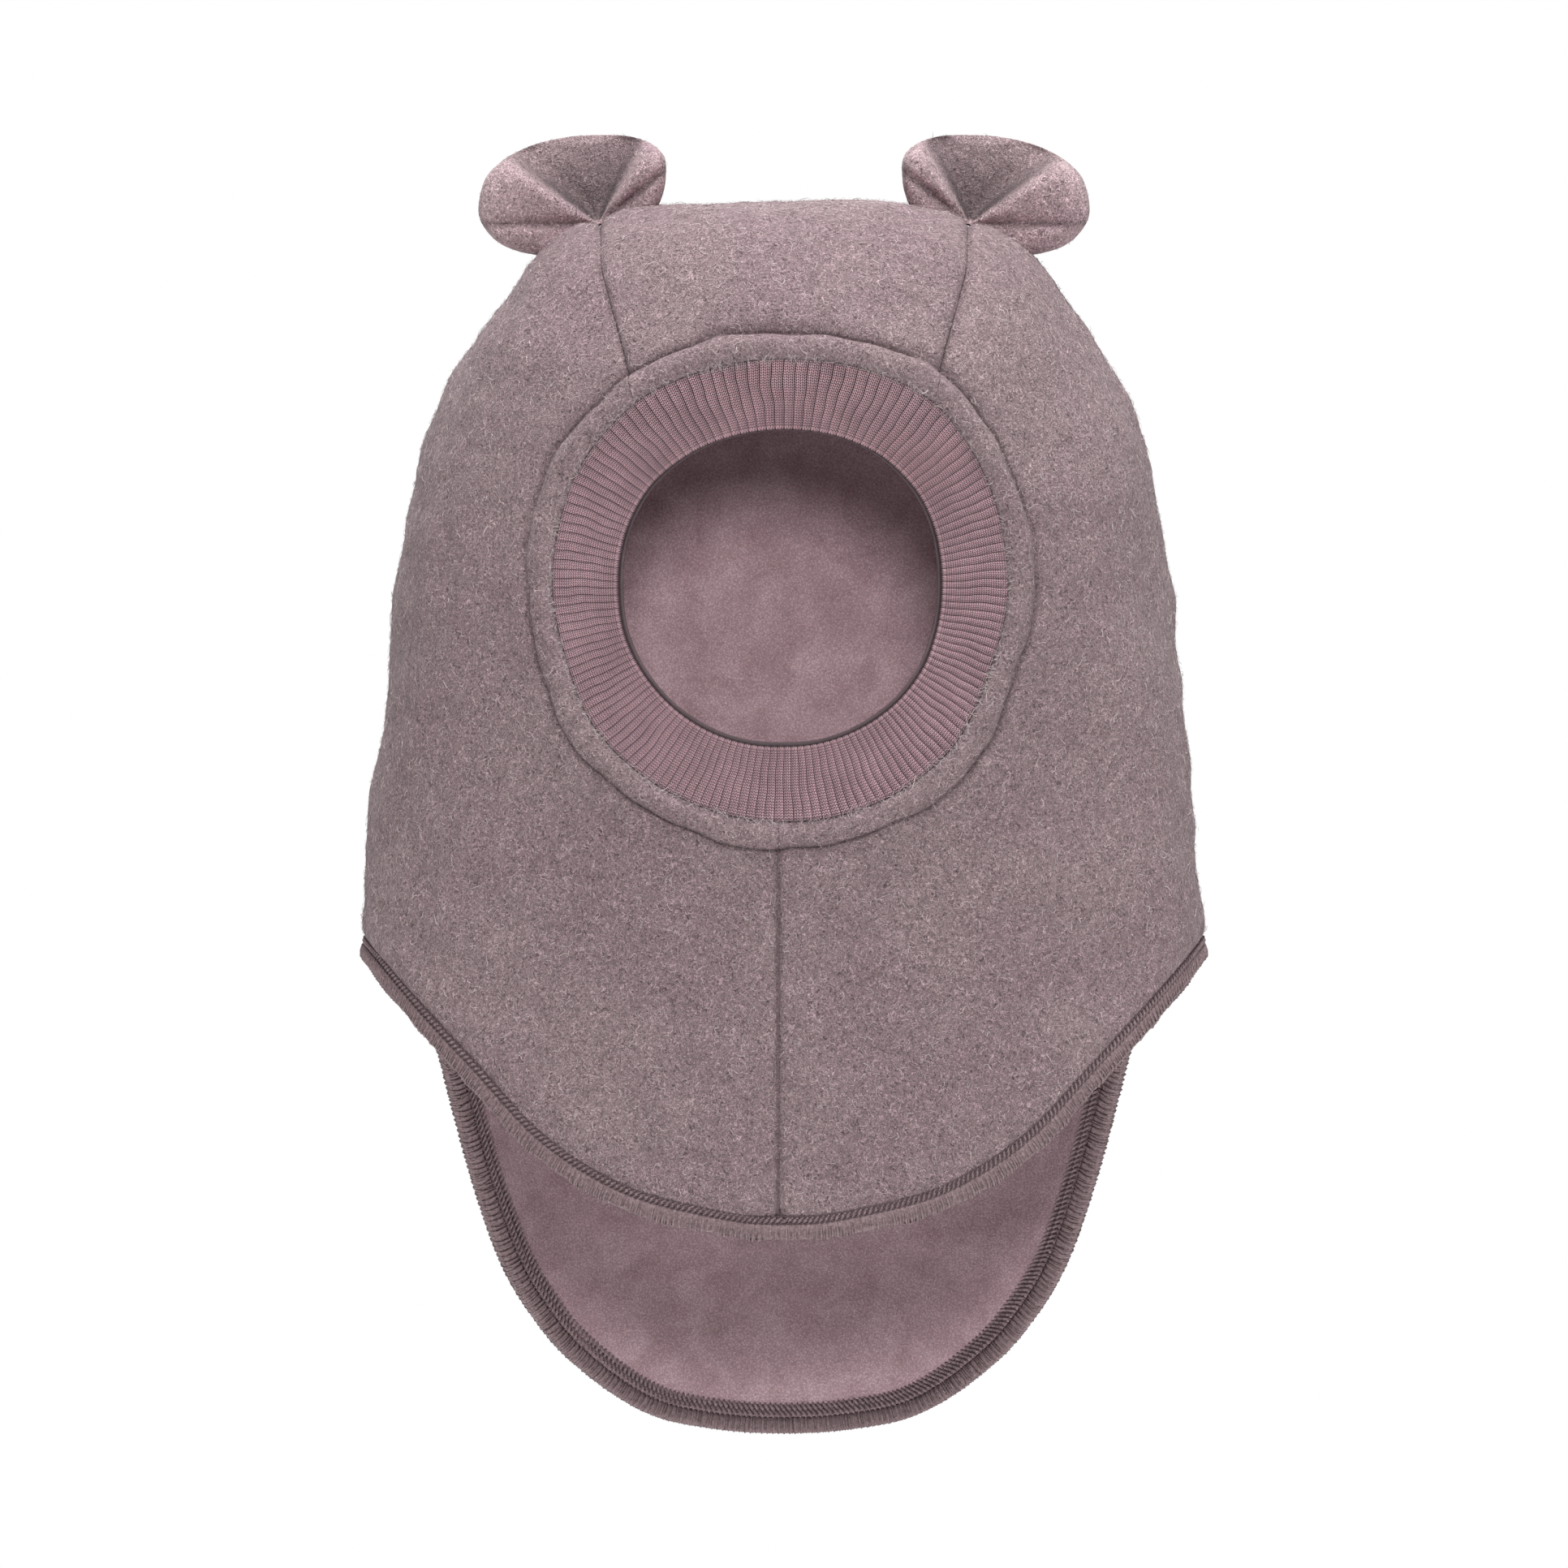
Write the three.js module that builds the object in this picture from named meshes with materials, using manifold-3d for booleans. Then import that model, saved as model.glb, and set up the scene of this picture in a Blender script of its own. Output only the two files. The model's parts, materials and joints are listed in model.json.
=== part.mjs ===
// A baby's balaclava in wool fleece: a hood with a round face opening, a ribbed cuff inside that opening,
// a front and a longer back bib, and two cupped ears set in the crown seams.
// Millimetres. +Z is up and the face looks along -Y. The origin is where the top of the head meets the lining.
// A drop is a distance straight down from the outside of the crown. A bearing on the hood is 0 at the front
// and a quarter turn at the wearer's left, which is +X.
import * as THREE from "three";
import { mergeVertices } from "three/addons/utils/BufferGeometryUtils.js";
import Module from "manifold-3d";

const wasm = await Module();
wasm.setup();

// Hood, as worn.
const HALF_WIDTH = 104;
const FRONT_DEPTH = 84;
const BACK_DEPTH = 88;
const SIDE_DROP = 186.5;
const FRONT_DROP = 255;
const BACK_DROP = 304.5;
const FRONT_SQUARENESS = 2.4;
const BACK_SQUARENESS = 2.1;

// Cloth.
const FLEECE = 2.2;
const LINING = 1.2;
const LAYER_GAP = 0.3;
const SEAM_GAP = 0.4;
const WALL = FLEECE + LAYER_GAP + LINING;

// Face opening, with the stitched band round it.
const OPENING_DROP = 96;
const OPENING_RADIUS = 56.5;
const BAND_WIDTH = 6.5;
const BAND_RISE = 1.3;
const STITCH_SINK = 0.8;
const STITCH_WIDTH = 2.5;

// Ribbed cuff.
const HOLE_RADIUS = 38.4;
const HOLE_RECESS = 6;
const CUFF_GAP = 0.6;
const CUFF_SINK = 0.5;
const CUFF_THICKNESS = 2.8;
const RIBS = 140;
const RIB_DEPTH = 0.7;

// Overlocked edge.
const EDGING_HEIGHT = 4.2;
const EDGING_GAP = 0.35;
const EDGING_PROUD = 0.2;
const EDGING_ROUNDING = 1.2;

// Crown seams, and the ears that stand in them.
const SEAM_HALF_WIDTH = 45.8;
const EAR_BACK = 4;
const EAR_SPAN = 30;
const EAR_DEPTH = 12;
const EAR_PINCH = 0.45;
const EAR_SINK = 0.8;
const EAR_GAP = 0.35;

// How finely the cloth is divided.
const COLUMNS = 44;
const DOME_ROWS = 6;
const DOME_DROP = 26;
const SIDE_ROWS = 11;
const OPENING_COLUMNS = 6;
const OPENING_ROWS = 7;
const EAR_RINGS = 5;
const EAR_STEPS = 2;
const CUT_REACH = 400;
const CUT_OVERLAP = 1;

// Outline of the hood at each drop. Drops are shares of SIDE_DROP, and the rest are shares of
// HALF_WIDTH, FRONT_DEPTH and BACK_DEPTH.
const SECTIONS = [
  { drop: 0, width: 0, front: 0, back: 0 },
  { drop: 0.0086, width: 0.307, front: 0.31, back: 0.32 },
  { drop: 0.032, width: 0.474, front: 0.488, back: 0.5 },
  { drop: 0.075, width: 0.594, front: 0.613, back: 0.636 },
  { drop: 0.14, width: 0.683, front: 0.702, back: 0.739 },
  { drop: 0.225, width: 0.777, front: 0.786, back: 0.841 },
  { drop: 0.322, width: 0.851, front: 0.845, back: 0.909 },
  { drop: 0.456, width: 0.901, front: 0.887, back: 0.943 },
  { drop: 0.643, width: 0.94, front: 0.899, back: 0.886 },
  { drop: 0.831, width: 0.971, front: 0.887, back: 0.818 },
  { drop: 1, width: 1, front: 0.893, back: 0.83 },
  { drop: 1.23, width: 1.015, front: 0.94, back: 0.909 },
  { drop: 1.64, width: 1.025, front: 1, back: 1 },
].map((row) => ({ ...row, root: Math.sqrt(row.drop) }));

// The hem. Across is a share of the half width at the hem, and fall is how far the hem has come down from the
// side corners, as a share of the way to the bib's lowest point.
const FRONT_HEM = [
  { across: 0, fall: 1 },
  { across: 0.06, fall: 0.998 },
  { across: 0.2, fall: 0.965 },
  { across: 0.42, fall: 0.86 },
  { across: 0.6, fall: 0.675 },
  { across: 0.75, fall: 0.43 },
  { across: 0.875, fall: 0.225 },
  { across: 0.945, fall: 0.1 },
  { across: 1, fall: 0 },
];
const BACK_HEM = [
  { across: 0, fall: 1 },
  { across: 0.06, fall: 0.999 },
  { across: 0.17, fall: 0.99 },
  { across: 0.325, fall: 0.957 },
  { across: 0.45, fall: 0.887 },
  { across: 0.565, fall: 0.787 },
  { across: 0.677, fall: 0.618 },
  { across: 0.742, fall: 0.448 },
  { across: 0.795, fall: 0.28 },
  { across: 0.82, fall: 0.2 },
  { across: 0.877, fall: 0.135 },
  { across: 0.95, fall: 0.065 },
  { across: 1, fall: 0 },
];

// The two seams of the crown panel, seen from the front and from the back. Drops are shares of OPENING_DROP
// and of BACK_DROP, and out is a share of SEAM_HALF_WIDTH.
const FRONT_SEAM = [
  { drop: -0.3, out: 1 },
  { drop: 0.14, out: 1 },
  { drop: 0.24, out: 0.958 },
  { drop: 0.31, out: 0.915 },
  { drop: 0.45, out: 0.836 },
  { drop: 1, out: 0.7 },
];
const BACK_SEAM = [
  { drop: -0.1, out: 1 },
  { drop: 0.05, out: 1 },
  { drop: 0.3, out: 0.98 },
  { drop: 0.55, out: 0.88 },
  { drop: 1.1, out: 0.72 },
];

// An ear, as rays from the pinch at its foot. The bearing is in degrees from straight up, positive away from
// the crown's middle. Reach is a share of EAR_SPAN. Rim, front and back are shares of EAR_DEPTH: how far
// forward the edge lies, and how far the two faces stand off from it.
const EAR = [
  { bearing: -180, reach: 0.2, rim: 0, front: 0.1, back: 0.4 },
  { bearing: -140, reach: 0.28, rim: 0, front: 0.2, back: 0.45 },
  { bearing: -110, reach: 0.38, rim: 0.1, front: 0.45, back: 0.5 },
  { bearing: -80, reach: 0.47, rim: 0.18, front: 0.7, back: 0.55 },
  { bearing: -57, reach: 0.66, rim: 0.15, front: 0.85, back: 0.6 },
  { bearing: -43, reach: 0.78, rim: 0.05, front: 0.9, back: 0.65 },
  { bearing: -34, reach: 0.79, rim: -0.2, front: 0.7, back: 0.7 },
  { bearing: -28, reach: 0.78, rim: -0.4, front: -0.2, back: 0.75 },
  { bearing: 0, reach: 0.735, rim: -0.85, front: -0.25, back: 0.7 },
  { bearing: 24, reach: 0.775, rim: -0.8, front: -0.25, back: 0.7 },
  { bearing: 47, reach: 0.885, rim: -0.4, front: -0.2, back: 0.75 },
  { bearing: 57, reach: 0.945, rim: -0.15, front: 0.5, back: 0.7 },
  { bearing: 70, reach: 1, rim: 0.05, front: 0.85, back: 0.65 },
  { bearing: 84, reach: 0.99, rim: 0.12, front: 0.9, back: 0.6 },
  { bearing: 98, reach: 0.87, rim: 0.15, front: 0.7, back: 0.55 },
  { bearing: 117, reach: 0.57, rim: 0.1, front: 0.4, back: 0.5 },
  { bearing: 145, reach: 0.33, rim: 0, front: 0.2, back: 0.45 },
  { bearing: 180, reach: 0.2, rim: 0, front: 0.1, back: 0.4 },
];

// A column of a table at any key, on a smooth curve through its rows that never overshoots them.
function readTable(rows, key, column, at) {
  const last = rows.length - 1;
  const slope = (i) => (rows[i + 1][column] - rows[i][column]) / (rows[i + 1][key] - rows[i][key]);
  const tangent = (i) => {
    if (i === 0) return slope(0);
    if (i === last) return slope(last - 1);
    const [before, after] = [slope(i - 1), slope(i)];
    if (before * after <= 0) return 0;
    const share = (rows[i][key] - rows[i - 1][key]) / (rows[i + 1][key] - rows[i - 1][key]);
    const most = 3 * Math.min(Math.abs(before), Math.abs(after));
    return THREE.MathUtils.clamp(before + share * (after - before), -most, most);
  };
  let i = 0;
  while (i < last - 1 && at > rows[i + 1][key]) i += 1;
  const span = rows[i + 1][key] - rows[i][key];
  const t = THREE.MathUtils.clamp((at - rows[i][key]) / span, 0, 1);
  const [p0, p1, m0, m1] = [rows[i][column], rows[i + 1][column], tangent(i) * span, tangent(i + 1) * span];
  return p0 + t * (m0 + t * (3 * (p1 - p0) - 2 * m0 - m1 + t * (2 * (p0 - p1) + m0 + m1)));
}

function sectionAt(drop) {
  const root = Math.sqrt(Math.max(drop, 0) / SIDE_DROP);
  return {
    width: HALF_WIDTH * readTable(SECTIONS, "root", "width", root),
    front: FRONT_DEPTH * readTable(SECTIONS, "root", "front", root),
    back: BACK_DEPTH * readTable(SECTIONS, "root", "back", root),
  };
}

// The outside of the hood at a bearing and a drop.
function hoodPoint(bearing, drop) {
  const { width, front, back } = sectionAt(drop);
  const [side, ahead] = [Math.sin(bearing), Math.cos(bearing)];
  const power = 2 / (ahead > 0 ? FRONT_SQUARENESS : BACK_SQUARENESS);
  return new THREE.Vector3(
    width * Math.sign(side) * Math.abs(side) ** power,
    -(ahead > 0 ? front : back) * Math.sign(ahead) * Math.abs(ahead) ** power,
    WALL - drop,
  );
}

// The outside of the hood's front, straight behind a point of the front view.
function facePoint(x, drop) {
  const { width, front } = sectionAt(drop);
  const room = 1 - (Math.abs(x) / width) ** FRONT_SQUARENESS;
  return new THREE.Vector3(x, -front * room ** (1 / FRONT_SQUARENESS), WALL - drop);
}

// The direction straight out of the cloth at a point of the hood.
function outwardAt(point) {
  const step = 0.05;
  if (WALL - point.z < 2 * step) return new THREE.Vector3(0, 0, 1);
  const reach = (x, y, z) => {
    const { width, front, back } = sectionAt(WALL - z);
    const square = y < 0 ? FRONT_SQUARENESS : BACK_SQUARENESS;
    return (Math.abs(x) / width) ** square + (Math.abs(y) / (y < 0 ? front : back)) ** square;
  };
  const { x, y, z } = point;
  return new THREE.Vector3(
    reach(x + step, y, z) - reach(x - step, y, z),
    reach(x, y + step, z) - reach(x, y - step, z),
    reach(x, y, z + step) - reach(x, y, z - step),
  ).normalize();
}

const sunk = (point, depth) => point.clone().addScaledVector(outwardAt(point), -depth);

function hemPoint(bearing) {
  const ahead = Math.cos(bearing) > 0;
  const power = 2 / (ahead ? FRONT_SQUARENESS : BACK_SQUARENESS);
  const fall = readTable(ahead ? FRONT_HEM : BACK_HEM, "across", "fall", Math.abs(Math.sin(bearing)) ** power);
  return hoodPoint(bearing, SIDE_DROP + fall * ((ahead ? FRONT_DROP : BACK_DROP) - SIDE_DROP));
}

// The hem with its two directions: out of the cloth, and up the cloth at right angles to the edge.
function hemFrame(bearing) {
  const step = 0.02;
  const point = hemPoint(bearing);
  const out = outwardAt(point);
  const along = hemPoint(bearing + step).sub(hemPoint(bearing - step));
  return { point, out, up: new THREE.Vector3().crossVectors(out, along).normalize() };
}

// One crossing of the cloth's net: rows run down from the top of the crown, columns run round the hood.
function netPoint(column, row) {
  const bearing = (2 * Math.PI * column) / COLUMNS;
  if (row <= DOME_ROWS) return hoodPoint(bearing, DOME_DROP * (row / DOME_ROWS) ** 2);
  const { point, up } = hemFrame(bearing);
  if (row === DOME_ROWS + SIDE_ROWS) return point.addScaledVector(up, EDGING_HEIGHT);
  const drop = THREE.MathUtils.lerp(DOME_DROP, WALL - point.z, (row - DOME_ROWS) / SIDE_ROWS);
  return hoodPoint(bearing, drop);
}

const turnsTo = (count, value) => Array.from({ length: count + 1 }, (_, i) => value(i));

// The net's crossings round the block of cells that the face opening takes, clockwise from its top left.
function openingBorder() {
  const [c, top, bottom] = [OPENING_COLUMNS, DOME_ROWS, DOME_ROWS + OPENING_ROWS];
  const border = [];
  for (let i = -c; i < c; i += 1) border.push([i, top]);
  for (let j = top; j < bottom; j += 1) border.push([c, j]);
  for (let i = c; i > -c; i -= 1) border.push([i, bottom]);
  for (let j = bottom; j > top; j -= 1) border.push([-c, j]);
  border.push(border[0]);
  return border.map(([column, row]) => netPoint(column, row));
}

// How far the fleece stands up from the hood's own shape near the face opening.
function bandRise(point) {
  if (point.y > 0) return 0;
  const out = Math.hypot(point.x, WALL - point.z - OPENING_DROP) - OPENING_RADIUS;
  if (out < BAND_WIDTH) {
    const share = THREE.MathUtils.clamp(out / BAND_WIDTH, 0, 1);
    return BAND_RISE * Math.sin(Math.PI * (0.25 + 0.75 * share)) - STITCH_SINK * share ** 4;
  }
  return -STITCH_SINK * Math.max(0, 1 - (out - BAND_WIDTH) / STITCH_WIDTH);
}

function addGrid(triangles, rows, flip = false, wanted = () => true) {
  for (let j = 0; j + 1 < rows.length; j += 1)
    for (let i = 0; i + 1 < rows[j].length; i += 1) {
      if (!wanted(i, j)) continue;
      const [a, b, c, d] = [rows[j][i], rows[j][i + 1], rows[j + 1][i + 1], rows[j + 1][i]];
      triangles.push(...(flip ? [a, b, c, a, c, d] : [a, c, b, a, d, c]));
    }
}

// A manifold solid from a closed set of triangles.
function solidFrom(triangles) {
  const loose = new THREE.BufferGeometry().setFromPoints(triangles);
  return solidOf(loose);
}

function solidOf(geometry) {
  const bare = new THREE.BufferGeometry().setAttribute(
    "position",
    (geometry.index ? geometry.toNonIndexed() : geometry).getAttribute("position"),
  );
  const merged = mergeVertices(bare, 1e-3);
  const triVerts = [];
  for (let i = 0; i < merged.index.count; i += 3) {
    const [a, b, c] = merged.index.array.subarray(i, i + 3);
    if (a !== b && b !== c && c !== a) triVerts.push(a, b, c);
  }
  return new wasm.Manifold(
    new wasm.Mesh({
      numProp: 3,
      vertProperties: merged.attributes.position.array,
      triVerts: new Uint32Array(triVerts),
    }),
  );
}

function geometryOf(solid) {
  const { vertProperties, triVerts } = solid.getMesh();
  return new THREE.BufferGeometry()
    .setAttribute("position", new THREE.BufferAttribute(vertProperties, 3))
    .setIndex(new THREE.BufferAttribute(triVerts, 1))
    .toNonIndexed();
}

// A layer of the hood between two depths under its outside, with the face opening left out. The ring radii
// divide the cloth round the opening, and a layer with a band stands up there.
function clothLayer(outerDepth, innerDepth, ringRadii, banded) {
  const net = turnsTo(DOME_ROWS + SIDE_ROWS, (row) => turnsTo(COLUMNS, (column) => netPoint(column, row)));
  const border = openingBorder();
  const ring = (radius) =>
    border.map((_, i) => {
      const turn = (2 * Math.PI * (i - OPENING_COLUMNS)) / (border.length - 1);
      return facePoint(radius * Math.sin(turn), OPENING_DROP - radius * Math.cos(turn));
    });
  const rings = [border, ...[...ringRadii].reverse().map(ring)];
  const outside = (point) => sunk(point, outerDepth - (banded ? bandRise(point) : 0));
  const inside = (point) => sunk(point, innerDepth);
  const inOpening = (i, j) =>
    (i < OPENING_COLUMNS || i >= COLUMNS - OPENING_COLUMNS) && j >= DOME_ROWS && j < DOME_ROWS + OPENING_ROWS;
  const triangles = [];
  for (const [skin, flip] of [[outside, true], [inside, false]]) {
    addGrid(triangles, net.map((row) => row.map(skin)), !flip, (i, j) => !inOpening(i, j));
    addGrid(triangles, rings.map((row) => row.map(skin)), !flip);
  }
  const rims = [net.at(-1), rings.at(-1)];
  for (const rim of rims) addGrid(triangles, [rim.map(outside), rim.map(inside)]);
  return solidFrom(triangles);
}

// Everything between the two crown seams, widened by a margin.
function crownRegion(margin) {
  const prism = (seam, height, shift) => {
    const side = seam.map(({ drop, out }) => [SEAM_HALF_WIDTH * out + margin, WALL - height * drop]);
    const outline = [...side, ...side.map(([x, z]) => [-x, z]).reverse()];
    const shape = new THREE.Shape(outline.map(([x, z]) => new THREE.Vector2(x, z)));
    const block = new THREE.ExtrudeGeometry(shape, { depth: CUT_REACH, bevelEnabled: false });
    return solidOf(block.rotateX(Math.PI / 2).translate(0, shift, 0));
  };
  return prism(FRONT_SEAM, OPENING_DROP, CUT_OVERLAP).add(prism(BACK_SEAM, BACK_DROP, CUT_REACH - CUT_OVERLAP));
}

// The three fleece panels: the crown strip, and a side panel each way round to the seam under the chin.
function fleecePanels() {
  const ringRadii = [0, 0.3, 0.7, 1].map((share) => OPENING_RADIUS + share * BAND_WIDTH);
  const shell = clothLayer(0, FLEECE, [...ringRadii, ringRadii.at(-1) + STITCH_WIDTH], true);
  const chinSeam = solidOf(new THREE.BoxGeometry(SEAM_GAP, CUT_REACH, 2 * CUT_REACH));
  const crown = shell.intersect(crownRegion(-SEAM_GAP / 2));
  const sides = shell.subtract(crownRegion(SEAM_GAP / 2)).subtract(chinSeam).decompose();
  const middle = (solid) => solid.boundingBox().max[0] + solid.boundingBox().min[0];
  const [right, left] = sides.sort((a, b) => middle(a) - middle(b));
  return { crown, right, left };
}

function innerLining() {
  return clothLayer(FLEECE + LAYER_GAP, WALL, [OPENING_RADIUS, OPENING_RADIUS + BAND_WIDTH + STITCH_WIDTH], false);
}

// The cuff: a flat ring of rib that runs in from the fleece edge to the hole, thinner in each groove.
function ribbedCuff() {
  const outerRadius = OPENING_RADIUS - CUFF_GAP;
  const [brow, chin] = [-outerRadius, outerRadius].map((fall) => facePoint(0, OPENING_DROP + fall));
  const middle = brow.clone().lerp(chin, 0.5);
  const lean = (brow.y - chin.y) / (2 * outerRadius);
  const section = (turn, groove) => {
    const [side, up] = [Math.sin(turn), Math.cos(turn)];
    const outer = (depth) =>
      sunk(facePoint(outerRadius * side, OPENING_DROP - outerRadius * up), CUFF_SINK + depth);
    const hole = (depth) =>
      new THREE.Vector3(
        HOLE_RADIUS * side,
        middle.y + HOLE_RECESS + depth + lean * HOLE_RADIUS * up,
        middle.z + HOLE_RADIUS * up,
      );
    return [outer(groove), hole(groove), hole(CUFF_THICKNESS), outer(CUFF_THICKNESS), outer(groove)];
  };
  const loops = turnsTo(2 * RIBS, (i) => section((Math.PI * i) / RIBS, i % 2 ? RIB_DEPTH : 0));
  loops[2 * RIBS] = loops[0];
  const triangles = [];
  addGrid(triangles, loops, true);
  return solidFrom(triangles);
}

// The overlocked edge that wraps both layers all the way round the hem.
function overlockEdging() {
  const [top, inside] = [EDGING_HEIGHT - EDGING_GAP, -WALL - EDGING_PROUD];
  const section = [
    [top, EDGING_PROUD],
    [EDGING_ROUNDING, EDGING_PROUD],
    [0, EDGING_PROUD - EDGING_ROUNDING],
    [0, inside + EDGING_ROUNDING],
    [EDGING_ROUNDING, inside],
    [top, inside],
    [top, EDGING_PROUD],
  ];
  const loops = turnsTo(COLUMNS, (column) => {
    const { point, out, up } = hemFrame((2 * Math.PI * column) / COLUMNS);
    return section.map(([height, depth]) => point.clone().addScaledVector(up, height).addScaledVector(out, depth));
  });
  const triangles = [];
  addGrid(triangles, loops, true);
  return solidFrom(triangles);
}

// The hood's whole bulk, grown by a margin, for trimming what stands on it.
function hoodBulk(margin) {
  const rows = turnsTo(DOME_ROWS + OPENING_ROWS, (row) =>
    turnsTo(COLUMNS, (column) => sunk(netPoint(column, row), -margin)),
  );
  const middle = new THREE.Vector3(0, 0, rows.at(-1)[0].z);
  const triangles = [];
  addGrid(triangles, [...rows, rows[0].map(() => middle)]);
  return solidFrom(triangles);
}

// The ear on the wearer's left: two faces of fleece, gathered to a pinch, with a hollow between two lobes.
function cuppedEar() {
  const crownDrop = WALL - hoodTopAt(SEAM_HALF_WIDTH);
  const foot = new THREE.Vector3(SEAM_HALF_WIDTH, EAR_BACK, WALL - crownDrop - EAR_SINK);
  const bearings = EAR.slice(1).flatMap((row, i) =>
    Array.from({ length: EAR_STEPS }, (_, k) => EAR[i].bearing + ((row.bearing - EAR[i].bearing) * k) / EAR_STEPS),
  );
  const at = (bearing, column) => readTable(EAR, "bearing", column, bearing);
  const face = (ring, stand) =>
    [...bearings, bearings[0]].map((bearing) => {
      const share = ring / EAR_RINGS;
      const angle = THREE.MathUtils.degToRad(bearing);
      const reach = EAR_SPAN * at(bearing, "reach") * share;
      const forward = EAR_DEPTH * (at(bearing, "rim") * share + stand(bearing, share));
      return foot.clone().add(new THREE.Vector3(reach * Math.sin(angle), -forward, reach * Math.cos(angle)));
    });
  const fullness = (share) => Math.sqrt(1 - share ** 5);
  const front = (bearing, share) => at(bearing, "front") * share ** 0.7 * fullness(share);
  const back = (bearing, share) => -THREE.MathUtils.lerp(EAR_PINCH, at(bearing, "back"), share) * fullness(share);
  const triangles = [];
  addGrid(triangles, turnsTo(EAR_RINGS, (ring) => face(ring, front)), true);
  addGrid(triangles, turnsTo(EAR_RINGS, (ring) => face(ring, back)));
  return solidFrom(triangles).subtract(hoodBulk(EAR_GAP));
}

// Height of the crown's ridge at a distance from the middle.
function hoodTopAt(x) {
  let drop = 0;
  while (sectionAt(drop).width < x) drop += 0.05;
  return WALL - drop;
}

const wool = { color: 0x93807f, roughness: 0.95, metalness: 0 };
const rib = { color: 0x8e737a, roughness: 0.9, metalness: 0 };
const jersey = { color: 0x866b71, roughness: 0.9, metalness: 0 };
const thread = { color: 0x7d6a6b, roughness: 0.85, metalness: 0 };

const { crown, right, left } = fleecePanels();
const ear = cuppedEar();
const pieces = [
  ["crown_panel", crown, wool],
  ["side_panel_right", right, wool],
  ["side_panel_left", left, wool],
  ["lining", innerLining(), jersey],
  ["face_cuff", ribbedCuff(), rib],
  ["hem_edging", overlockEdging(), thread],
  ["ear_left", ear, wool],
  ["ear_right", ear.mirror([1, 0, 0]), wool],
];

const hat = new THREE.Group();
for (const [name, solid, finish] of pieces) {
  const mesh = new THREE.Mesh(geometryOf(solid), new THREE.MeshStandardMaterial(finish));
  mesh.name = name;
  hat.add(mesh);
}

export default hat;
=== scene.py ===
"""A baby's wool fleece balaclava with ears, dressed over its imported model.

The hood's form is worked out in millimetres from the same sizes as the model, and each piece is scaled to metres
when it is finished. The face looks along -Y. A drop is a distance straight down from the outside of the crown,
and a bearing is 0 at the front and grows towards the wearer's left, which is +X.
"""

import json
import math

import bmesh
import bpy
import numpy as np
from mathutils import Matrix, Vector

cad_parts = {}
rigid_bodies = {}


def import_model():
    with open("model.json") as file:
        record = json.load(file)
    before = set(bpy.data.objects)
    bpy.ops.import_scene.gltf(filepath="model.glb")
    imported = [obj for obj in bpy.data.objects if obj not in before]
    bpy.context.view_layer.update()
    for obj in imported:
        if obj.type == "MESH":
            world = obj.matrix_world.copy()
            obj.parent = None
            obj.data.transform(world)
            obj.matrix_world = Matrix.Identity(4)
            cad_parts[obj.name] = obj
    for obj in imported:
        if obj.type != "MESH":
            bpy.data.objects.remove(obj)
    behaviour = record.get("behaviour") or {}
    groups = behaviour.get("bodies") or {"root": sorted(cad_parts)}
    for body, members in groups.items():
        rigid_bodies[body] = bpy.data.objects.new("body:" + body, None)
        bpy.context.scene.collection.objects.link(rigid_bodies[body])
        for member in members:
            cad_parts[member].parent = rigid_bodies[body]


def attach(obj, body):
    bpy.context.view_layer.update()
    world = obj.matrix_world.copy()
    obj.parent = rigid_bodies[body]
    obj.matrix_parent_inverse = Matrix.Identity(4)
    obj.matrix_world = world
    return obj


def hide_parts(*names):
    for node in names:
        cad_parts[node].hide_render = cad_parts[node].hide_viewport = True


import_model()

bl_info = {
    "name": "Baby hat with ears",
    "version": (1, 0, 0),
    "blender": (4, 5, 0),
    "location": "View3D > Sidebar > Hat",
    "description": "Dresses a baby's fleece balaclava with wool, rib knit, lining and an overlocked hem",
    "category": "Object",
}

MM = 0.001
BODY = "root"

# The hood as worn, in millimetres.
HALF_WIDTH = 104.0
FRONT_DEPTH = 84.0
BACK_DEPTH = 88.0
SIDE_DROP = 186.5
FRONT_DROP = 255.0
BACK_DROP = 304.5
FRONT_SQUARENESS = 2.4
BACK_SQUARENESS = 2.1

# Its cloth.
FLEECE = 2.2
LAYER_GAP = 0.3
LINING = 1.2
WALL = FLEECE + LAYER_GAP + LINING

# The face opening and the cuff in it.
OPENING_DROP = 96.0
OPENING_RADIUS = 56.5
CUFF_RADIUS = OPENING_RADIUS - 0.3
CUFF_SINK = 0.9
CUFF_THICKNESS = 2.6
RIB_COLUMNS = 3
RIB_COURSES = 26
HOLE_RADIUS = 38.4
HOLE_RECESS = 6.0

# The crown seams and the ears that stand in them.
SEAM_HALF_WIDTH = 45.8
CHIN_SEAM = -1.4
EDGING_HEIGHT = 4.2
EAR_BACK = 4.0
EAR_SPAN = 30.0
EAR_DEPTH = 12.0
EAR_PINCH = 0.45
EAR_SINK = 0.8

# The net of the hood's cloth: the rows above DOME_DROP are level, and those below it fan out to the hem.
DOME_DROP = 26.0
DOME_SHARE = 6 / 17
OPENING_TURN = 6 / 22
OPENING_FALL = (6 / 17, 13 / 17)


def slopes(keys, values):
    """The slope of a smooth curve at each row, level wherever the rows turn back."""
    steps = np.diff(keys)
    between = np.diff(values) / steps
    before, after = between[:-1], between[1:]
    inner = before + steps[:-1] / (steps[:-1] + steps[1:]) * (after - before)
    most = np.where(before * after > 0, 3 * np.minimum(np.abs(before), np.abs(after)), 0)
    return np.concatenate([between[:1], np.clip(inner, -most, most), between[-1:]])


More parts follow.
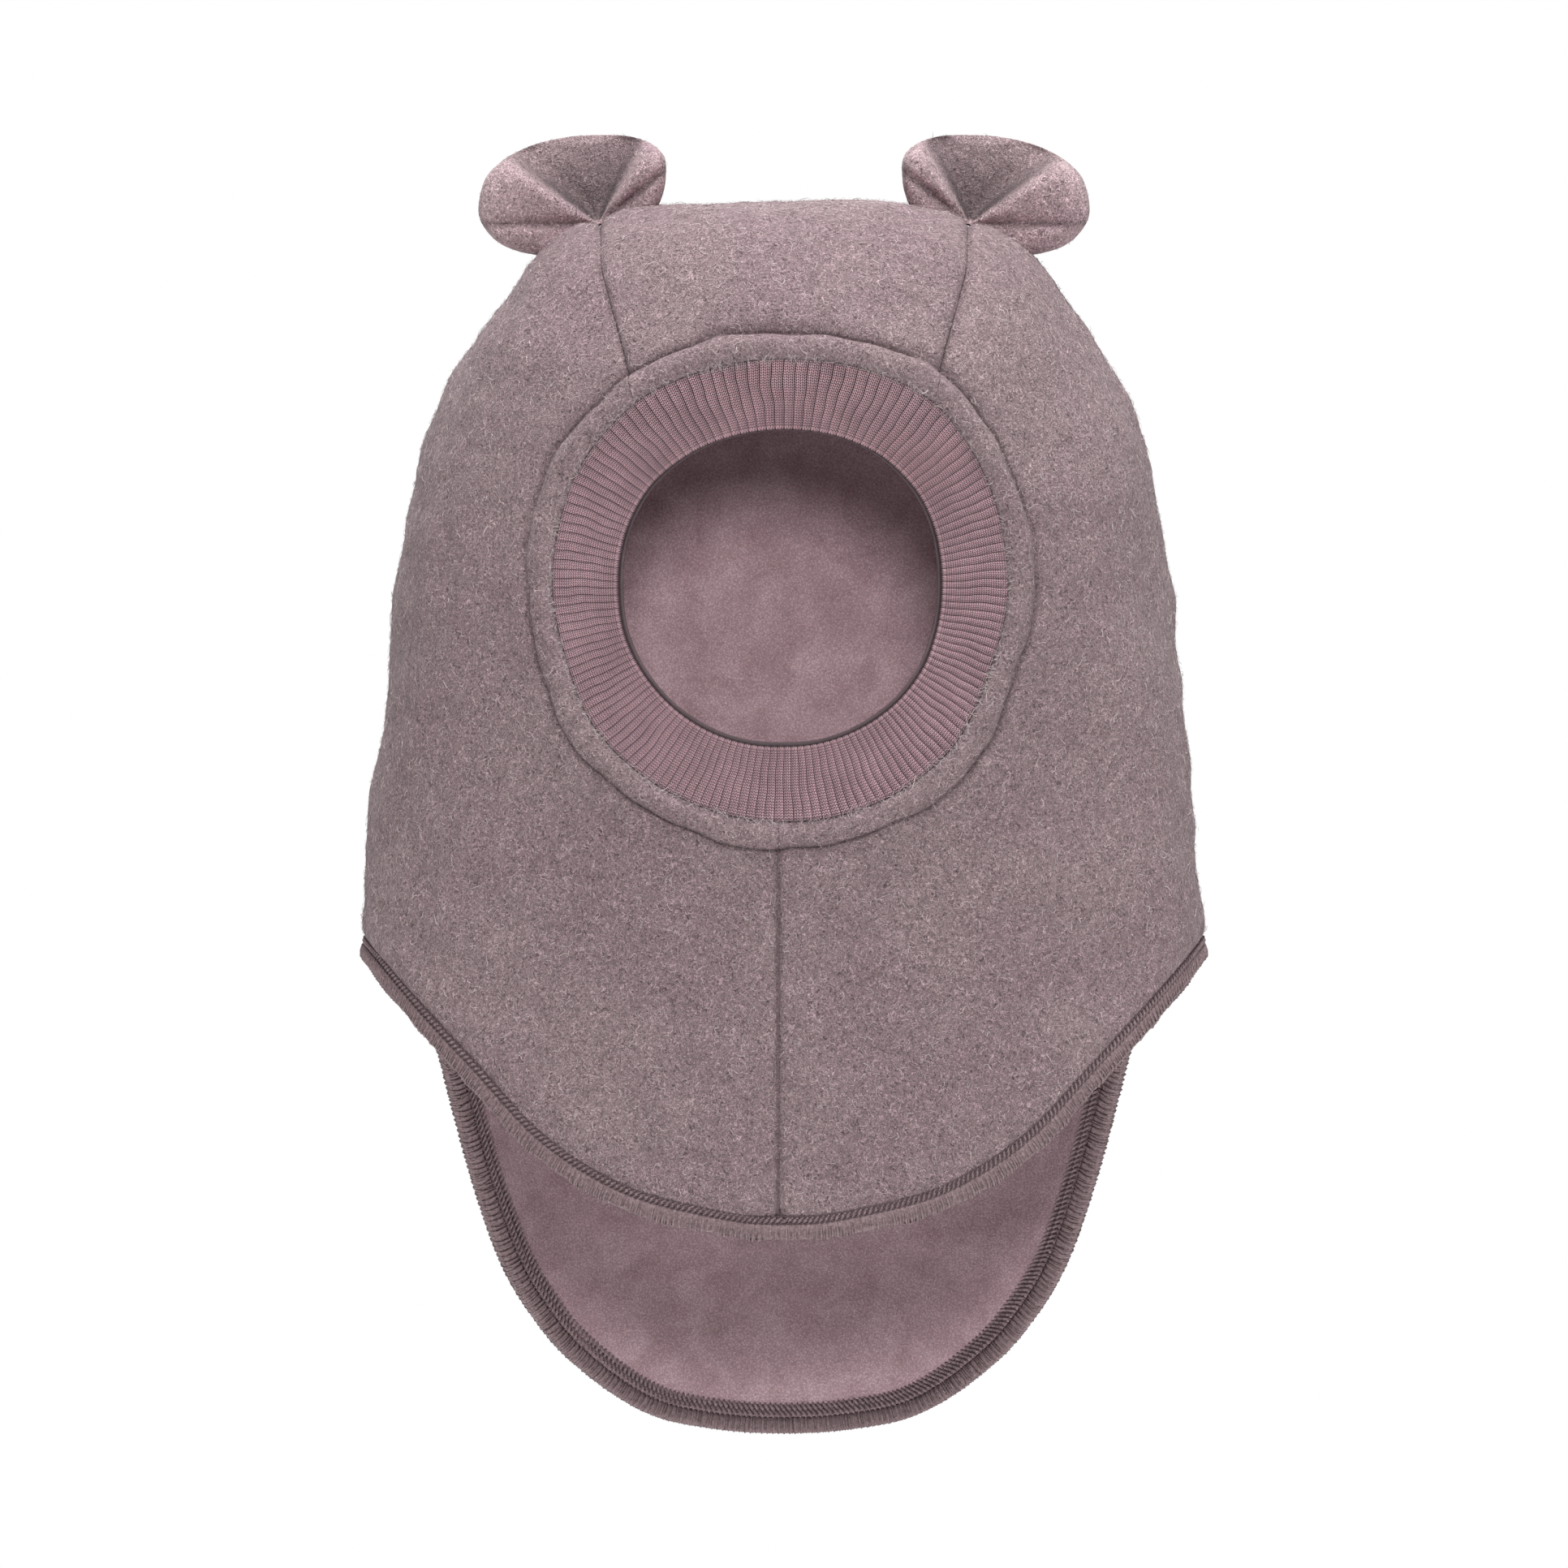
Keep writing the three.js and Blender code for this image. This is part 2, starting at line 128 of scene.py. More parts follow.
class Table:
    """Named columns over a key, read on a smooth curve that never overshoots the rows."""

    def __init__(self, columns, rows):
        self.keys, *values = np.array(rows, float).T
        self.columns = {name: (column, slopes(self.keys, column)) for name, column in zip(columns[1:], values)}

    def at(self, name, key):
        values, tangents = self.columns[name]
        key = np.asarray(key, float)
        i = np.clip(np.searchsorted(self.keys, key, side="right") - 1, 0, len(self.keys) - 2)
        span = self.keys[i + 1] - self.keys[i]
        t = np.clip((key - self.keys[i]) / span, 0, 1)
        p0, p1, m0, m1 = values[i], values[i + 1], tangents[i] * span, tangents[i + 1] * span
        return p0 + t * (m0 + t * (3 * (p1 - p0) - 2 * m0 - m1 + t * (2 * (p0 - p1) + m0 + m1)))


# The outline at each drop. The root is the square root of the drop's share of SIDE_DROP, and the rest are
# shares of HALF_WIDTH, FRONT_DEPTH and BACK_DEPTH.
SECTIONS = Table(
    ("root", "width", "front", "back"),
    [
        (math.sqrt(drop), width, front, back)
        for drop, width, front, back in (
            (0, 0, 0, 0),
            (0.0086, 0.307, 0.31, 0.32),
            (0.032, 0.474, 0.488, 0.5),
            (0.075, 0.594, 0.613, 0.636),
            (0.14, 0.683, 0.702, 0.739),
            (0.225, 0.777, 0.786, 0.841),
            (0.322, 0.851, 0.845, 0.909),
            (0.456, 0.901, 0.887, 0.943),
            (0.643, 0.94, 0.899, 0.886),
            (0.831, 0.971, 0.887, 0.818),
            (1, 1, 0.893, 0.83),
            (1.23, 1.015, 0.94, 0.909),
            (1.64, 1.025, 1, 1),
        )
    ],
)

# The hem: across is a share of its half width, fall the share of the way from the side corners to the bib's end.
FRONT_HEM = Table(
    ("across", "fall"),
    [
        (0, 1),
        (0.06, 0.998),
        (0.2, 0.965),
        (0.42, 0.86),
        (0.6, 0.675),
        (0.75, 0.43),
        (0.875, 0.225),
        (0.945, 0.1),
        (1, 0),
    ],
)
BACK_HEM = Table(
    ("across", "fall"),
    [
        (0, 1),
        (0.06, 0.999),
        (0.17, 0.99),
        (0.325, 0.957),
        (0.45, 0.887),
        (0.565, 0.787),
        (0.677, 0.618),
        (0.742, 0.448),
        (0.795, 0.28),
        (0.82, 0.2),
        (0.877, 0.135),
        (0.95, 0.065),
        (1, 0),
    ],
)

# The crown seams: drops are shares of OPENING_DROP and BACK_DROP, and out is a share of SEAM_HALF_WIDTH.
FRONT_SEAM = Table(
    ("drop", "out"), [(-0.3, 1), (0.14, 1), (0.24, 0.958), (0.31, 0.915), (0.45, 0.836), (1, 0.7)]
)
BACK_SEAM = Table(("drop", "out"), [(-0.1, 1), (0.05, 1), (0.3, 0.98), (0.55, 0.88), (1.1, 0.72)])

# The soft outline of the opening, clockwise from the top in degrees: how far its edge and the cuff's hole stand
# outside their radius, in mm.
OPENING_OUTLINE = Table(
    ("turn", "edge", "hole"),
    [
        (-180, 0.5, -0.4),
        (-154, 0.7, 0.4),
        (-129, 1.3, 1.1),
        (-106, 0, 2),
        (-90, 0.7, 2.1),
        (-77, 1.2, 2.5),
        (-54, 2.5, 2.8),
        (-39, 2.5, 2.1),
        (-26, 1.5, 1.4),
        (-13, 0.8, 0.8),
        (0, 0.5, 0.6),
        (26, 2, 1.4),
        (38, 2.7, 1.9),
        (51, 1.5, 1.9),
        (64, 0.3, 1.4),
        (77, -0.7, 0.6),
        (95, -1.3, 0),
        (108, -2, 0.1),
        (118, -1.3, 0.4),
        (134, 0.4, 0.3),
        (154, 0.7, -0.1),
        (180, 0.5, -0.4),
    ],
)

# The stitched band round the opening: how far the fleece stands up at each distance from its edge. Its line of
# stitches lies down in the groove.
BAND = Table(
    ("distance", "rise"),
    [
        (0, -1.0),
        (0.4, -0.1),
        (1.2, 0.8),
        (3, 1.4),
        (4.6, 1.1),
        (5.7, 0.2),
        (6.3, -0.6),
        (6.5, -1.1),
        (6.7, -0.6),
        (7.5, 0),
        (9, 0.5),
        (12, 0.25),
        (17, 0),
    ],
)
GROOVE = 6.5
BAND_RINGS = (0, 0.3, 0.7, 1.2, 1.9, 2.7, 3.5, 4.3, 5, 5.7, 6.1, 6.3, 6.5, 6.7, 7, 7.5, 8.3, 9.4)

# An ear, as rays from the pinch at its foot. The bearing is in degrees from straight up, positive away from the
# crown's middle. Reach is a share of EAR_SPAN; rim, front and back are shares of EAR_DEPTH.
EAR = Table(
    ("bearing", "reach", "rim", "front", "back"),
    [
        (-180, 0.2, 0, 0.1, 0.4),
        (-140, 0.28, 0, 0.2, 0.45),
        (-110, 0.38, 0.1, 0.45, 0.5),
        (-80, 0.47, 0.18, 0.62, 0.55),
        (-57, 0.66, 0.15, 0.7, 0.6),
        (-43, 0.78, 0.05, 0.78, 0.65),
        (-34, 0.79, -0.2, 0.68, 0.7),
        (-27, 0.78, -0.42, -0.14, 0.75),
        (0, 0.735, -0.85, -0.25, 0.7),
        (24, 0.775, -0.8, -0.25, 0.7),
        (47, 0.885, -0.4, -0.2, 0.75),
        (57, 0.945, -0.15, 0.7, 0.7),
        (70, 1, 0.05, 0.75, 0.65),
        (84, 0.99, 0.12, 0.68, 0.6),
        (98, 0.87, 0.15, 0.6, 0.55),
        (117, 0.57, 0.1, 0.45, 0.5),
        (145, 0.33, 0, 0.2, 0.45),
        (180, 0.2, 0, 0.1, 0.4),
    ],
)
# Folds in front of an ear: the middle and width of each in degrees, and its rise as a share of EAR_DEPTH.
EAR_FOLDS = (
    (-52, 2.6, -0.13),
    (90, 2.6, -0.13),
    (-36, 5, 0.12),
    (60, 6, 0.14),
    (-19, 6, -0.14),
    (44, 8, -0.14),
)
# Lines of painted shade along an ear's creases: the middle and width of each in degrees, and its depth of tone.
EAR_PAINTED_SHADE_LINES = ((-52, 1.2, 0.7), (90, 1.2, 0.7), (-26, 2.2, 0.3), (52, 2.2, 0.3))


def unit(vectors):
    return vectors / np.maximum(np.linalg.norm(vectors, axis=-1, keepdims=True), 1e-9)


def points_of(x, y, z):
    return np.stack(np.broadcast_arrays(x, y, z), axis=-1).astype(float)


def section_at(drop):
    """Half width, front depth and back depth at a drop."""
    root = np.sqrt(np.maximum(drop, 0) / SIDE_DROP)
    return (
        HALF_WIDTH * SECTIONS.at("width", root),
        FRONT_DEPTH * SECTIONS.at("front", root),
        BACK_DEPTH * SECTIONS.at("back", root),
    )


def hood_point(bearing, drop):
    """The outside of the hood at a bearing and a drop."""
    width, front, back = section_at(drop)
    side, ahead = np.sin(bearing), np.cos(bearing)
    power = 2 / np.where(ahead > 0, FRONT_SQUARENESS, BACK_SQUARENESS)
    x = width * np.sign(side) * np.abs(side) ** power
    y = -np.where(ahead > 0, front, back) * np.sign(ahead) * np.abs(ahead) ** power
    return points_of(x, y, WALL - drop)


def face_point(x, drop):
    """The outside of the hood's front, straight behind a point of the front view."""
    width, front, _ = section_at(drop)
    room = 1 - np.minimum(np.abs(x) / width, 1) ** FRONT_SQUARENESS
    return points_of(x, -front * room ** (1 / FRONT_SQUARENESS), WALL - drop)


def fill_at(x, y, z):
    """1 on the outside of the hood, less within it and more beyond it."""
    width, front, back = section_at(WALL - z)
    square = np.where(y < 0, FRONT_SQUARENESS, BACK_SQUARENESS)
    depth = np.where(y < 0, front, back)
    return (np.abs(x) / np.maximum(width, 1e-6)) ** square + (np.abs(y) / np.maximum(depth, 1e-6)) ** square


def outward(points, step=0.05):
    """The way straight out of the cloth at points of the hood."""
    x, y, z = np.moveaxis(points, -1, 0)
    z = np.minimum(z, WALL - 2 * step)
    slope = points_of(
        fill_at(x + step, y, z) - fill_at(x - step, y, z),
        fill_at(x, y + step, z) - fill_at(x, y - step, z),
        fill_at(x, y, z + step) - fill_at(x, y, z - step),
    )
    top = points[..., 2:] > WALL - 3 * step
    return np.where(top, (0.0, 0.0, 1.0), unit(slope))


def bearing_of(points):
    width, front, back = section_at(WALL - points[..., 2])
    forward = points[..., 1] < 0
    power = np.where(forward, FRONT_SQUARENESS, BACK_SQUARENESS) / 2
    side = np.sign(points[..., 0]) * (np.abs(points[..., 0]) / np.maximum(width, 1e-6)) ** power
    ahead = (np.abs(points[..., 1]) / np.maximum(np.where(forward, front, back), 1e-6)) ** power
    return np.arctan2(side, np.where(forward, ahead, -ahead))


def hem_point(bearing):
    ahead = np.cos(bearing) > 0
    power = 2 / np.where(ahead, FRONT_SQUARENESS, BACK_SQUARENESS)
    across = np.abs(np.sin(bearing)) ** power
    front_drop = SIDE_DROP + FRONT_HEM.at("fall", across) * (FRONT_DROP - SIDE_DROP)
    back_drop = SIDE_DROP + BACK_HEM.at("fall", across) * (BACK_DROP - SIDE_DROP)
    return hood_point(bearing, np.where(ahead, front_drop, back_drop))


def hem_frame(bearing, step=0.02):
    """The hem at a bearing, the way out of the cloth there, and the way up it at right angles to the edge."""
    point = hem_point(bearing)
    out = outward(point)
    along = hem_point(bearing + step) - hem_point(bearing - step)
    return point, out, unit(np.cross(out, along))


def even_hem(count):
    """Bearings at equal steps along the hem, all the way round."""
    bearing = np.linspace(-math.pi, math.pi, 2881)
    walked = np.concatenate([[0], np.cumsum(np.linalg.norm(np.diff(hem_point(bearing), axis=0), axis=1))])
    return np.interp(np.arange(count) * walked[-1] / count, walked, bearing)


def hem_length():
    loop = hem_point(np.linspace(-math.pi, math.pi, 2881))
    return float(np.linalg.norm(np.diff(loop, axis=0), axis=1).sum())


def net_point(turn, fall, height):
    """The hood's cloth at a share of a half turn and of the way down to a line that runs above the hem."""
    bearing = math.pi * turn
    point, _, up = hem_frame(bearing)
    edge = point + up * height
    t = np.clip((fall - DOME_SHARE) / (1 - DOME_SHARE), 0, 1)
    swing = (bearing_of(edge) - bearing + math.pi) % (2 * math.pi) - math.pi
    dome = DOME_DROP * np.minimum(fall / DOME_SHARE, 1) ** 2
    drop = np.where(fall < DOME_SHARE, dome, DOME_DROP + t * (WALL - edge[..., 2] - DOME_DROP))
    return hood_point(bearing + t * swing, drop)


def ripple(points, wavelength, seed, waves=14):
    """A smooth random field of about unit height."""
    rng = np.random.default_rng(seed)
    ways = unit(rng.normal(size=(waves, 3))) * (2 * math.pi / wavelength)
    phases = rng.uniform(0, 2 * math.pi, waves)
    return np.sin(points @ ways.T + phases).sum(axis=-1) * math.sqrt(2 / waves)


def seam_half_width(points):
    drop = WALL - points[..., 2]
    front = FRONT_SEAM.at("out", drop / OPENING_DROP)
    back = BACK_SEAM.at("out", drop / BACK_DROP)
    return SEAM_HALF_WIDTH * np.where(points[..., 1] < 0, front, back)


def has_crown_seam(points):
    return (points[..., 1] > 0) | (WALL - points[..., 2] < OPENING_DROP)


def opening_outline(name, turn):
    return OPENING_OUTLINE.at(name, (np.degrees(turn) + 180) % 360 - 180)


def from_opening(points):
    """Distance outside the edge of the face opening in the front view, and far away on the back."""
    x, y, z = np.moveaxis(points, -1, 0)
    turn = np.arctan2(x, z - WALL + OPENING_DROP)
    wander = 0.4 * np.sin(7 * turn + 0.6) + 0.25 * np.sin(16 * turn + 2) + 0.15 * np.sin(31 * turn)
    away = np.hypot(x, z - WALL + OPENING_DROP) - OPENING_RADIUS - opening_outline("edge", turn)
    return np.where(y < 0, away + wander * np.clip(away / 4, 0, 1), 1e3)


def from_seams(points):
    """Distance along the cloth from the nearest of the seams between the fleece panels."""
    x, y, z = np.moveaxis(points, -1, 0)
    crown = np.where(has_crown_seam(points), np.abs(np.abs(x) - seam_half_width(points)), 1e3)
    chin = np.where((y < 0) & (WALL - z > OPENING_DROP), np.abs(x - CHIN_SEAM), 1e3)
    return np.minimum(crown, chin)


def from_hem(points):
    """Distance up the cloth from the hem."""
    bearing = bearing_of(points)
    _, _, up = hem_frame(bearing)
    return (points[..., 2] - hem_point(bearing)[..., 2]) * np.clip(up[..., 2], 0.3, 1)


def fleece_relief(points):
    """How far the fleece stands up from the hood's own shape."""
    seam = from_seams(points)
    hem = from_hem(points)
    edge = from_opening(points)
    band = BAND.at("rise", edge)
    puffs = 0.28 * ripple(points, 8, 6) * np.exp(-(((edge - 3) / 2) ** 2))
    beyond_band = np.clip((edge - 5.5) / 2, 0, 1)
    sink = beyond_band * (1.0 * np.exp(-((seam / 0.9) ** 2)) + 0.6 * np.exp(-((seam / 3.4) ** 2)))
    pinch = 0.85 * np.exp(-(((hem - 4.6) / 1.5) ** 2)) - 0.35 * np.exp(-(((hem - 9) / 3) ** 2))
    soft = 0.55 * ripple(points, 46, 3) + 0.2 * ripple(points, 17, 4) + 0.1 * ripple(points, 5.5, 5)
    calm = np.clip(np.minimum(np.minimum(seam, np.abs(edge - GROOVE)) / 6, (hem - 4) / 8), 0, 1)
    return band + puffs - sink - pinch + soft * calm


def fleece_painted_shade(points):
    """Painted shade on the fleece: darker down in its seams and in the groove of the band, where shade falls, and a
    little below the brow, where the light falls off.
    """
    edge = from_opening(points)
    seam = np.where(edge > 6, from_seams(points), 99)
    x, _, z = np.moveaxis(points, -1, 0)
    painted_brow_shade = np.clip((WALL - z - 25) / 20, 0, 1) * np.clip((80 - np.abs(x)) / 25, 0, 1)
    # Thin lines of painted shade along the groove of the band and along the seams.
    lines = 0.2 * np.exp(-(((edge - GROOVE) / 0.5) ** 2)) + 0.25 * np.exp(-((seam / 0.5) ** 2))
    return 1 - 0.07 * painted_brow_shade - lines


def lining_relief(points):
    """How far the lining stands in from its own smooth shape."""
    hem = from_hem(points)
    folds = 0.5 * ripple(points, 38, 11) + 0.16 * ripple(points, 9, 12)
    return folds * np.clip((hem - 4) / 10, 0, 1) - 0.45 * np.exp(-(((hem - 6) / 2) ** 2))


# Helpers for meshes.


def coordinates(bm):
    return np.array([vert.co for vert in bm.verts], float).reshape(-1, 3)


def move_to(verts, places):
    for vert, place in zip(verts, places):
        vert.co = place


def grid(bm, across, down):
    """A sheet of quads, with its vertices and each one's place across and down it, from 0 to 1."""
    made = bmesh.ops.create_grid(bm, x_segments=across, y_segments=down, size=1)["verts"]
    places = np.array([vert.co for vert in made], float)
    return made, (places[:, 0] + 1) / 2, (1 - places[:, 1]) / 2


def hood_sheet(columns, dome_rows, side_rows, rings, height, blend_rows):
    """The hood's outside as one sheet, open at the hem and face. Rings are distances outside the opening."""
    bm = bmesh.new()
    verts, across, down = grid(bm, columns, dome_rows + side_rows)
    fall = DOME_SHARE * down * (dome_rows + side_rows) / dome_rows
    side_share = (down * (dome_rows + side_rows) - dome_rows) / side_rows
    fall = np.where(fall > DOME_SHARE, DOME_SHARE + side_share * (1 - DOME_SHARE), fall)
    turn = 2 * across - 1
    high, low = OPENING_FALL
    by_vert = {vert: (u, v) for vert, u, v in zip(verts, turn, fall)}
    inside = []
    for face in bm.faces:
        u, v = np.mean([by_vert[vert] for vert in face.verts], axis=0)
        if abs(u) < OPENING_TURN and high < v < low:
            inside.append(face)
    move_to(verts, net_point(turn, fall, height))
    bmesh.ops.delete(bm, geom=inside, context="FACES")
    add_opening_rings(bm, columns, side_rows, rings, height, blend_rows)
    bmesh.ops.remove_doubles(bm, verts=bm.verts[:], dist=0.01)
    return bm


def add_opening_rings(bm, columns, side_rows, rings, height, blend_rows):
    """Fills the gap between the net's block of missing cells and the round edge of the face opening."""
    high, low = OPENING_FALL
    wide = round(columns * OPENING_TURN)
    tall = round(side_rows * (low - high) / (1 - high))
    top = np.linspace(-1, 1, wide + 1)[:-1] * OPENING_TURN
    side = np.linspace(high, low, tall + 1)[:-1]
    turn = np.concatenate([top, np.full(tall, OPENING_TURN), -top, np.full(tall, -OPENING_TURN), top[:1]])
    rising = side[::-1] + side[1] - side[0]
    fall = np.concatenate([np.full(wide, high), side, np.full(wide, low), rising, [high]])
    border = net_point(turn, fall, height)
    around = len(border) - 1
    angle = 2 * math.pi * (np.arange(around + 1) - wide / 2) / around
    verts, across, down = grid(bm, around, len(rings) - 1 + blend_rows)
    i = np.rint(across * around).astype(int)
    j = np.rint(down * (len(rings) - 1 + blend_rows)).astype(int)
    radius = OPENING_RADIUS + opening_outline("edge", angle[i]) + np.array(rings)[np.minimum(j, len(rings) - 1)]
    x, drop = radius * np.sin(angle[i]), OPENING_DROP - radius * np.cos(angle[i])
    t = np.clip((j - len(rings) + 1) / blend_rows, 0, 1)
    x = x + t * (border[i, 0] - x)
    drop = drop + t * (WALL - border[i, 2] - drop)
    places = np.where((t == 1)[:, None], border[i], face_point(x, drop))
    move_to(verts, places)


def slice_at(bm, faces, x):
    """Cuts faces by an upright plane across X."""
    geom = list({*faces, *(e for f in faces for e in f.edges), *(v for f in faces for v in f.verts)})
    bmesh.ops.bisect_plane(bm, geom=geom, dist=1e-5, plane_co=(x, 0, 0), plane_no=(1, 0, 0))


def centres(bm):
    return np.array([face.calc_center_median() for face in bm.faces], float)


SEAM_CUTS = (0.07, 0.6, 1.3, 2.3, 3.8)


def cut_seams(bm):
    """Cuts the sheet along the crown seams and the chin seam, with rows of finer cells beside them."""
    places = coordinates(bm)
    squeeze = seam_half_width(places)
    places[:, 0] /= squeeze
    move_to(bm.verts, places)
    for distance in sorted({*SEAM_CUTS, *(-cut for cut in SEAM_CUTS)}):
        for side in (-1, 1):
            crown = has_crown_seam(centres(bm))
            faces = [face for face, near in zip(bm.faces, crown) if near]
            slice_at(bm, faces, side * (1 + distance / SEAM_HALF_WIDTH))
    places = coordinates(bm)
    places[:, 0] *= seam_half_width(places)
    move_to(bm.verts, places)
    for distance in sorted({*SEAM_CUTS, *(-cut for cut in SEAM_CUTS)}):
        middle = centres(bm)
        chin = (middle[:, 1] < 0) & ~has_crown_seam(middle) & (np.abs(middle[:, 0]) < 12)
        slice_at(bm, [face for face, near in zip(bm.faces, chin) if near], CHIN_SEAM + distance)
    middle = centres(bm)
    gap = from_seams(middle) < SEAM_CUTS[0] * 0.98
    bmesh.ops.delete(bm, geom=[face for face, out in zip(bm.faces, gap) if out], context="FACES")


def panel_numbers(places):
    """0 for the crown panel, 1 for the wearer's left side and 2 for the right."""
    crown = has_crown_seam(places) & (np.abs(places[:, 0]) < seam_half_width(places))
    divide = np.where(has_crown_seam(places), 0, CHIN_SEAM)
    return np.where(crown, 0, np.where(places[:, 0] > divide, 1, 2))


def thicken(bm, outer_relief, thickness, inner_relief=None):
    """Gives a sheet its thickness, inwards, and each side its own relief."""
    base = coordinates(bm)
    out = outward(base)
    outer = base + outer_relief(base)[:, None] * out
    depth = thickness + (inner_relief(base) if inner_relief else np.zeros(len(base)))
    inner = base - depth[:, None] * out
    verts = list(bm.verts)
    number = {vert.co.to_tuple(3): i for i, vert in enumerate(verts)}
    made = bmesh.ops.extrude_face_region(bm, geom=bm.faces[:], use_keep_orig=True)["geom"]
    for vert in made:
        if isinstance(vert, bmesh.types.BMVert):
            vert.co = inner[number[vert.co.to_tuple(3)]]
    move_to(verts, outer)
    face_outwards(bm)


def face_outwards(bm):
    """Turns the faces of a closed shape outwards."""
    bmesh.ops.recalc_face_normals(bm, faces=bm.faces[:])
    if bm.calc_volume(signed=True) < 0:
        bmesh.ops.reverse_faces(bm, faces=bm.faces[:])


def finish_piece(bm, name, material, slot, *nodes):
    """Turns a bmesh in millimetres into a finished object in metres that rides on the hat."""
    bmesh.ops.scale(bm, vec=(MM, MM, MM), verts=bm.verts[:])
    mesh = bpy.data.meshes.new(name)
    bm.to_mesh(mesh)
    bm.free()
    return finish_mesh(mesh, name, material, slot, *nodes)


TOP_TONE = 1.6


def set_tone_and_painted_shade(piece, tone):
    """Stores in the UV map how pale the cloth is at each place, painted shade and highlight included, from a
    function of its points in millimetres.
    """
    mesh = piece.data
    places = np.empty(len(mesh.vertices) * 3)
    mesh.vertices.foreach_get("co", places)
    corners = np.empty(len(mesh.loops), int)
    mesh.loops.foreach_get("vertex_index", corners)
    levels = tone(places.reshape(-1, 3) / MM)[corners] / TOP_TONE
    layer = mesh.uv_layers.new(name="UVMap")
    layer.data.foreach_set("uv", np.stack([levels, np.zeros(len(levels))], axis=1).ravel())


def finish_mesh(mesh, name, material, slot, *nodes):
    mesh.materials.append(material)
    mesh.polygons.foreach_set("use_smooth", np.ones(len(mesh.polygons), bool))
    piece = bpy.data.objects.new(name, mesh)
    bpy.context.scene.collection.objects.link(piece)
    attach(piece, BODY)
    if nodes:
        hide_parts(*nodes)
    return piece


def array_mesh(name, points, quads, uvs):
    """A mesh of many small quads from arrays in millimetres, with one UV pair for each corner."""
    mesh = bpy.data.meshes.new(name)
    mesh.vertices.add(len(points))
    mesh.vertices.foreach_set("co", (points * MM).ravel())
    mesh.loops.add(quads.size)
    mesh.loops.foreach_set("vertex_index", quads.ravel())
    mesh.polygons.add(len(quads))
    mesh.polygons.foreach_set("loop_start", np.arange(len(quads)) * 4)
    layer = mesh.uv_layers.new(name="UVMap")
    layer.data.foreach_set("uv", uvs.reshape(-1, 2).ravel())
    mesh.update(calc_edges=True)
    mesh.validate()
    return mesh


def strips(rows, uv_rows):
    """Quads between neighbouring points of a stack of small grids, as points, corner numbers and corner UVs."""
    count, long, wide, _ = rows.shape
    number = np.arange(count * long * wide).reshape(count, long, wide)
    near, far = number[:, :-1], number[:, 1:]
    quads = np.stack([near[..., :-1], near[..., 1:], far[..., 1:], far[..., :-1]], axis=-1).reshape(-1, 4)
    return rows.reshape(-1, 3), quads, uv_rows.reshape(-1, 2)[quads]


def tubes(paths, radius, sides, closed=False):
    """Round threads along a stack of paths. Closed ones join up; open ones have 4 sides and taper to small caps."""
    if closed:
        paths = np.concatenate([paths, paths[:, :1]], axis=1)
        along = np.roll(paths[:, :-1], -1, axis=1) - np.roll(paths[:, :-1], 1, axis=1)
        along = unit(np.concatenate([along, along[:, :1]], axis=1))
    else:
        along = unit(np.gradient(paths, axis=1))
    span = paths.shape[1]
    girth = np.tile(np.reshape(radius, (-1, 1)), (len(paths), span) if np.ndim(radius) == 0 else (1, span))
    if not closed:
        girth[:, [0, -1]] *= 0.05
    away = unit(paths.mean(axis=1, keepdims=True) * (1, 1, 0)) + (0, 0, 0.01)
    side = unit(np.cross(along, np.broadcast_to(away, along.shape)))
    over = np.cross(along, side)
    angle = np.linspace(0, 2 * math.pi, sides + 1)
    ring = side[:, :, None] * np.cos(angle)[:, None] + over[:, :, None] * np.sin(angle)[:, None]
    rows = paths[:, :, None] + ring * girth[:, :, None, None]
    u = np.broadcast_to(np.linspace(0, 1, sides + 1), rows.shape[:3])
    v = np.broadcast_to(np.arange(span)[:, None], rows.shape[:3])
    points, quads, uvs = strips(rows, np.stack([u, v], axis=-1))
    number = np.arange(len(points)).reshape(len(paths), span, sides + 1)
    number[:, :, -1] = number[:, :, 0]
    if closed:
        number[:, -1] = number[:, 0]
        return points, number.ravel()[quads], uvs
    caps = np.concatenate([number[:, -1, :4], number[:, 0, 3::-1]])
    cap_uvs = np.zeros((len(caps), 4, 2))
    return points, np.concatenate([number.ravel()[quads], caps]), np.concatenate([uvs, cap_uvs])


# Materials.


def srgb(*levels):
    """A linear colour from 0 to 255 levels."""
    shares = [level / 255 for level in levels]
    return tuple(s / 12.92 if s <= 0.04045 else ((s + 0.055) / 1.055) ** 2.4 for s in shares)


def new_material(name, roughness, sheen, sheen_roughness=0.5):
    material = bpy.data.materials.new(name)
    material.use_nodes = True
    tree = material.node_tree
    shader = tree.nodes["Principled BSDF"]
    shader.inputs["Roughness"].default_value = roughness
    shader.inputs["Specular IOR Level"].default_value = 0.2
    shader.inputs["Sheen Weight"].default_value = sheen
    shader.inputs["Sheen Roughness"].default_value = sheen_roughness
    return material, tree, shader


def add_node(tree, kind, inputs=None, **settings):
    """A node with its settings and its inputs, each of which is a value or another node's output."""
    node = tree.nodes.new(kind)
    for key, value in settings.items():
        setattr(node, key, value)
    for key, value in (inputs or {}).items():
        if isinstance(value, bpy.types.NodeSocket):
            tree.links.new(value, node.inputs[key])
        else:
            node.inputs[key].default_value = value
    return node


def place(tree):
    return add_node(tree, "ShaderNodeTexCoord").outputs["Object"]


def grain(tree, vector, size, detail=3.0, distortion=0.0, roughness=0.5):
    """Noise whose features are about as large as size, in metres."""
    inputs = {"Vector": vector, "Scale": 1 / size, "Detail": detail, "Distortion": distortion}
    inputs["Roughness"] = roughness
    return add_node(tree, "ShaderNodeTexNoise", inputs).outputs["Fac"]


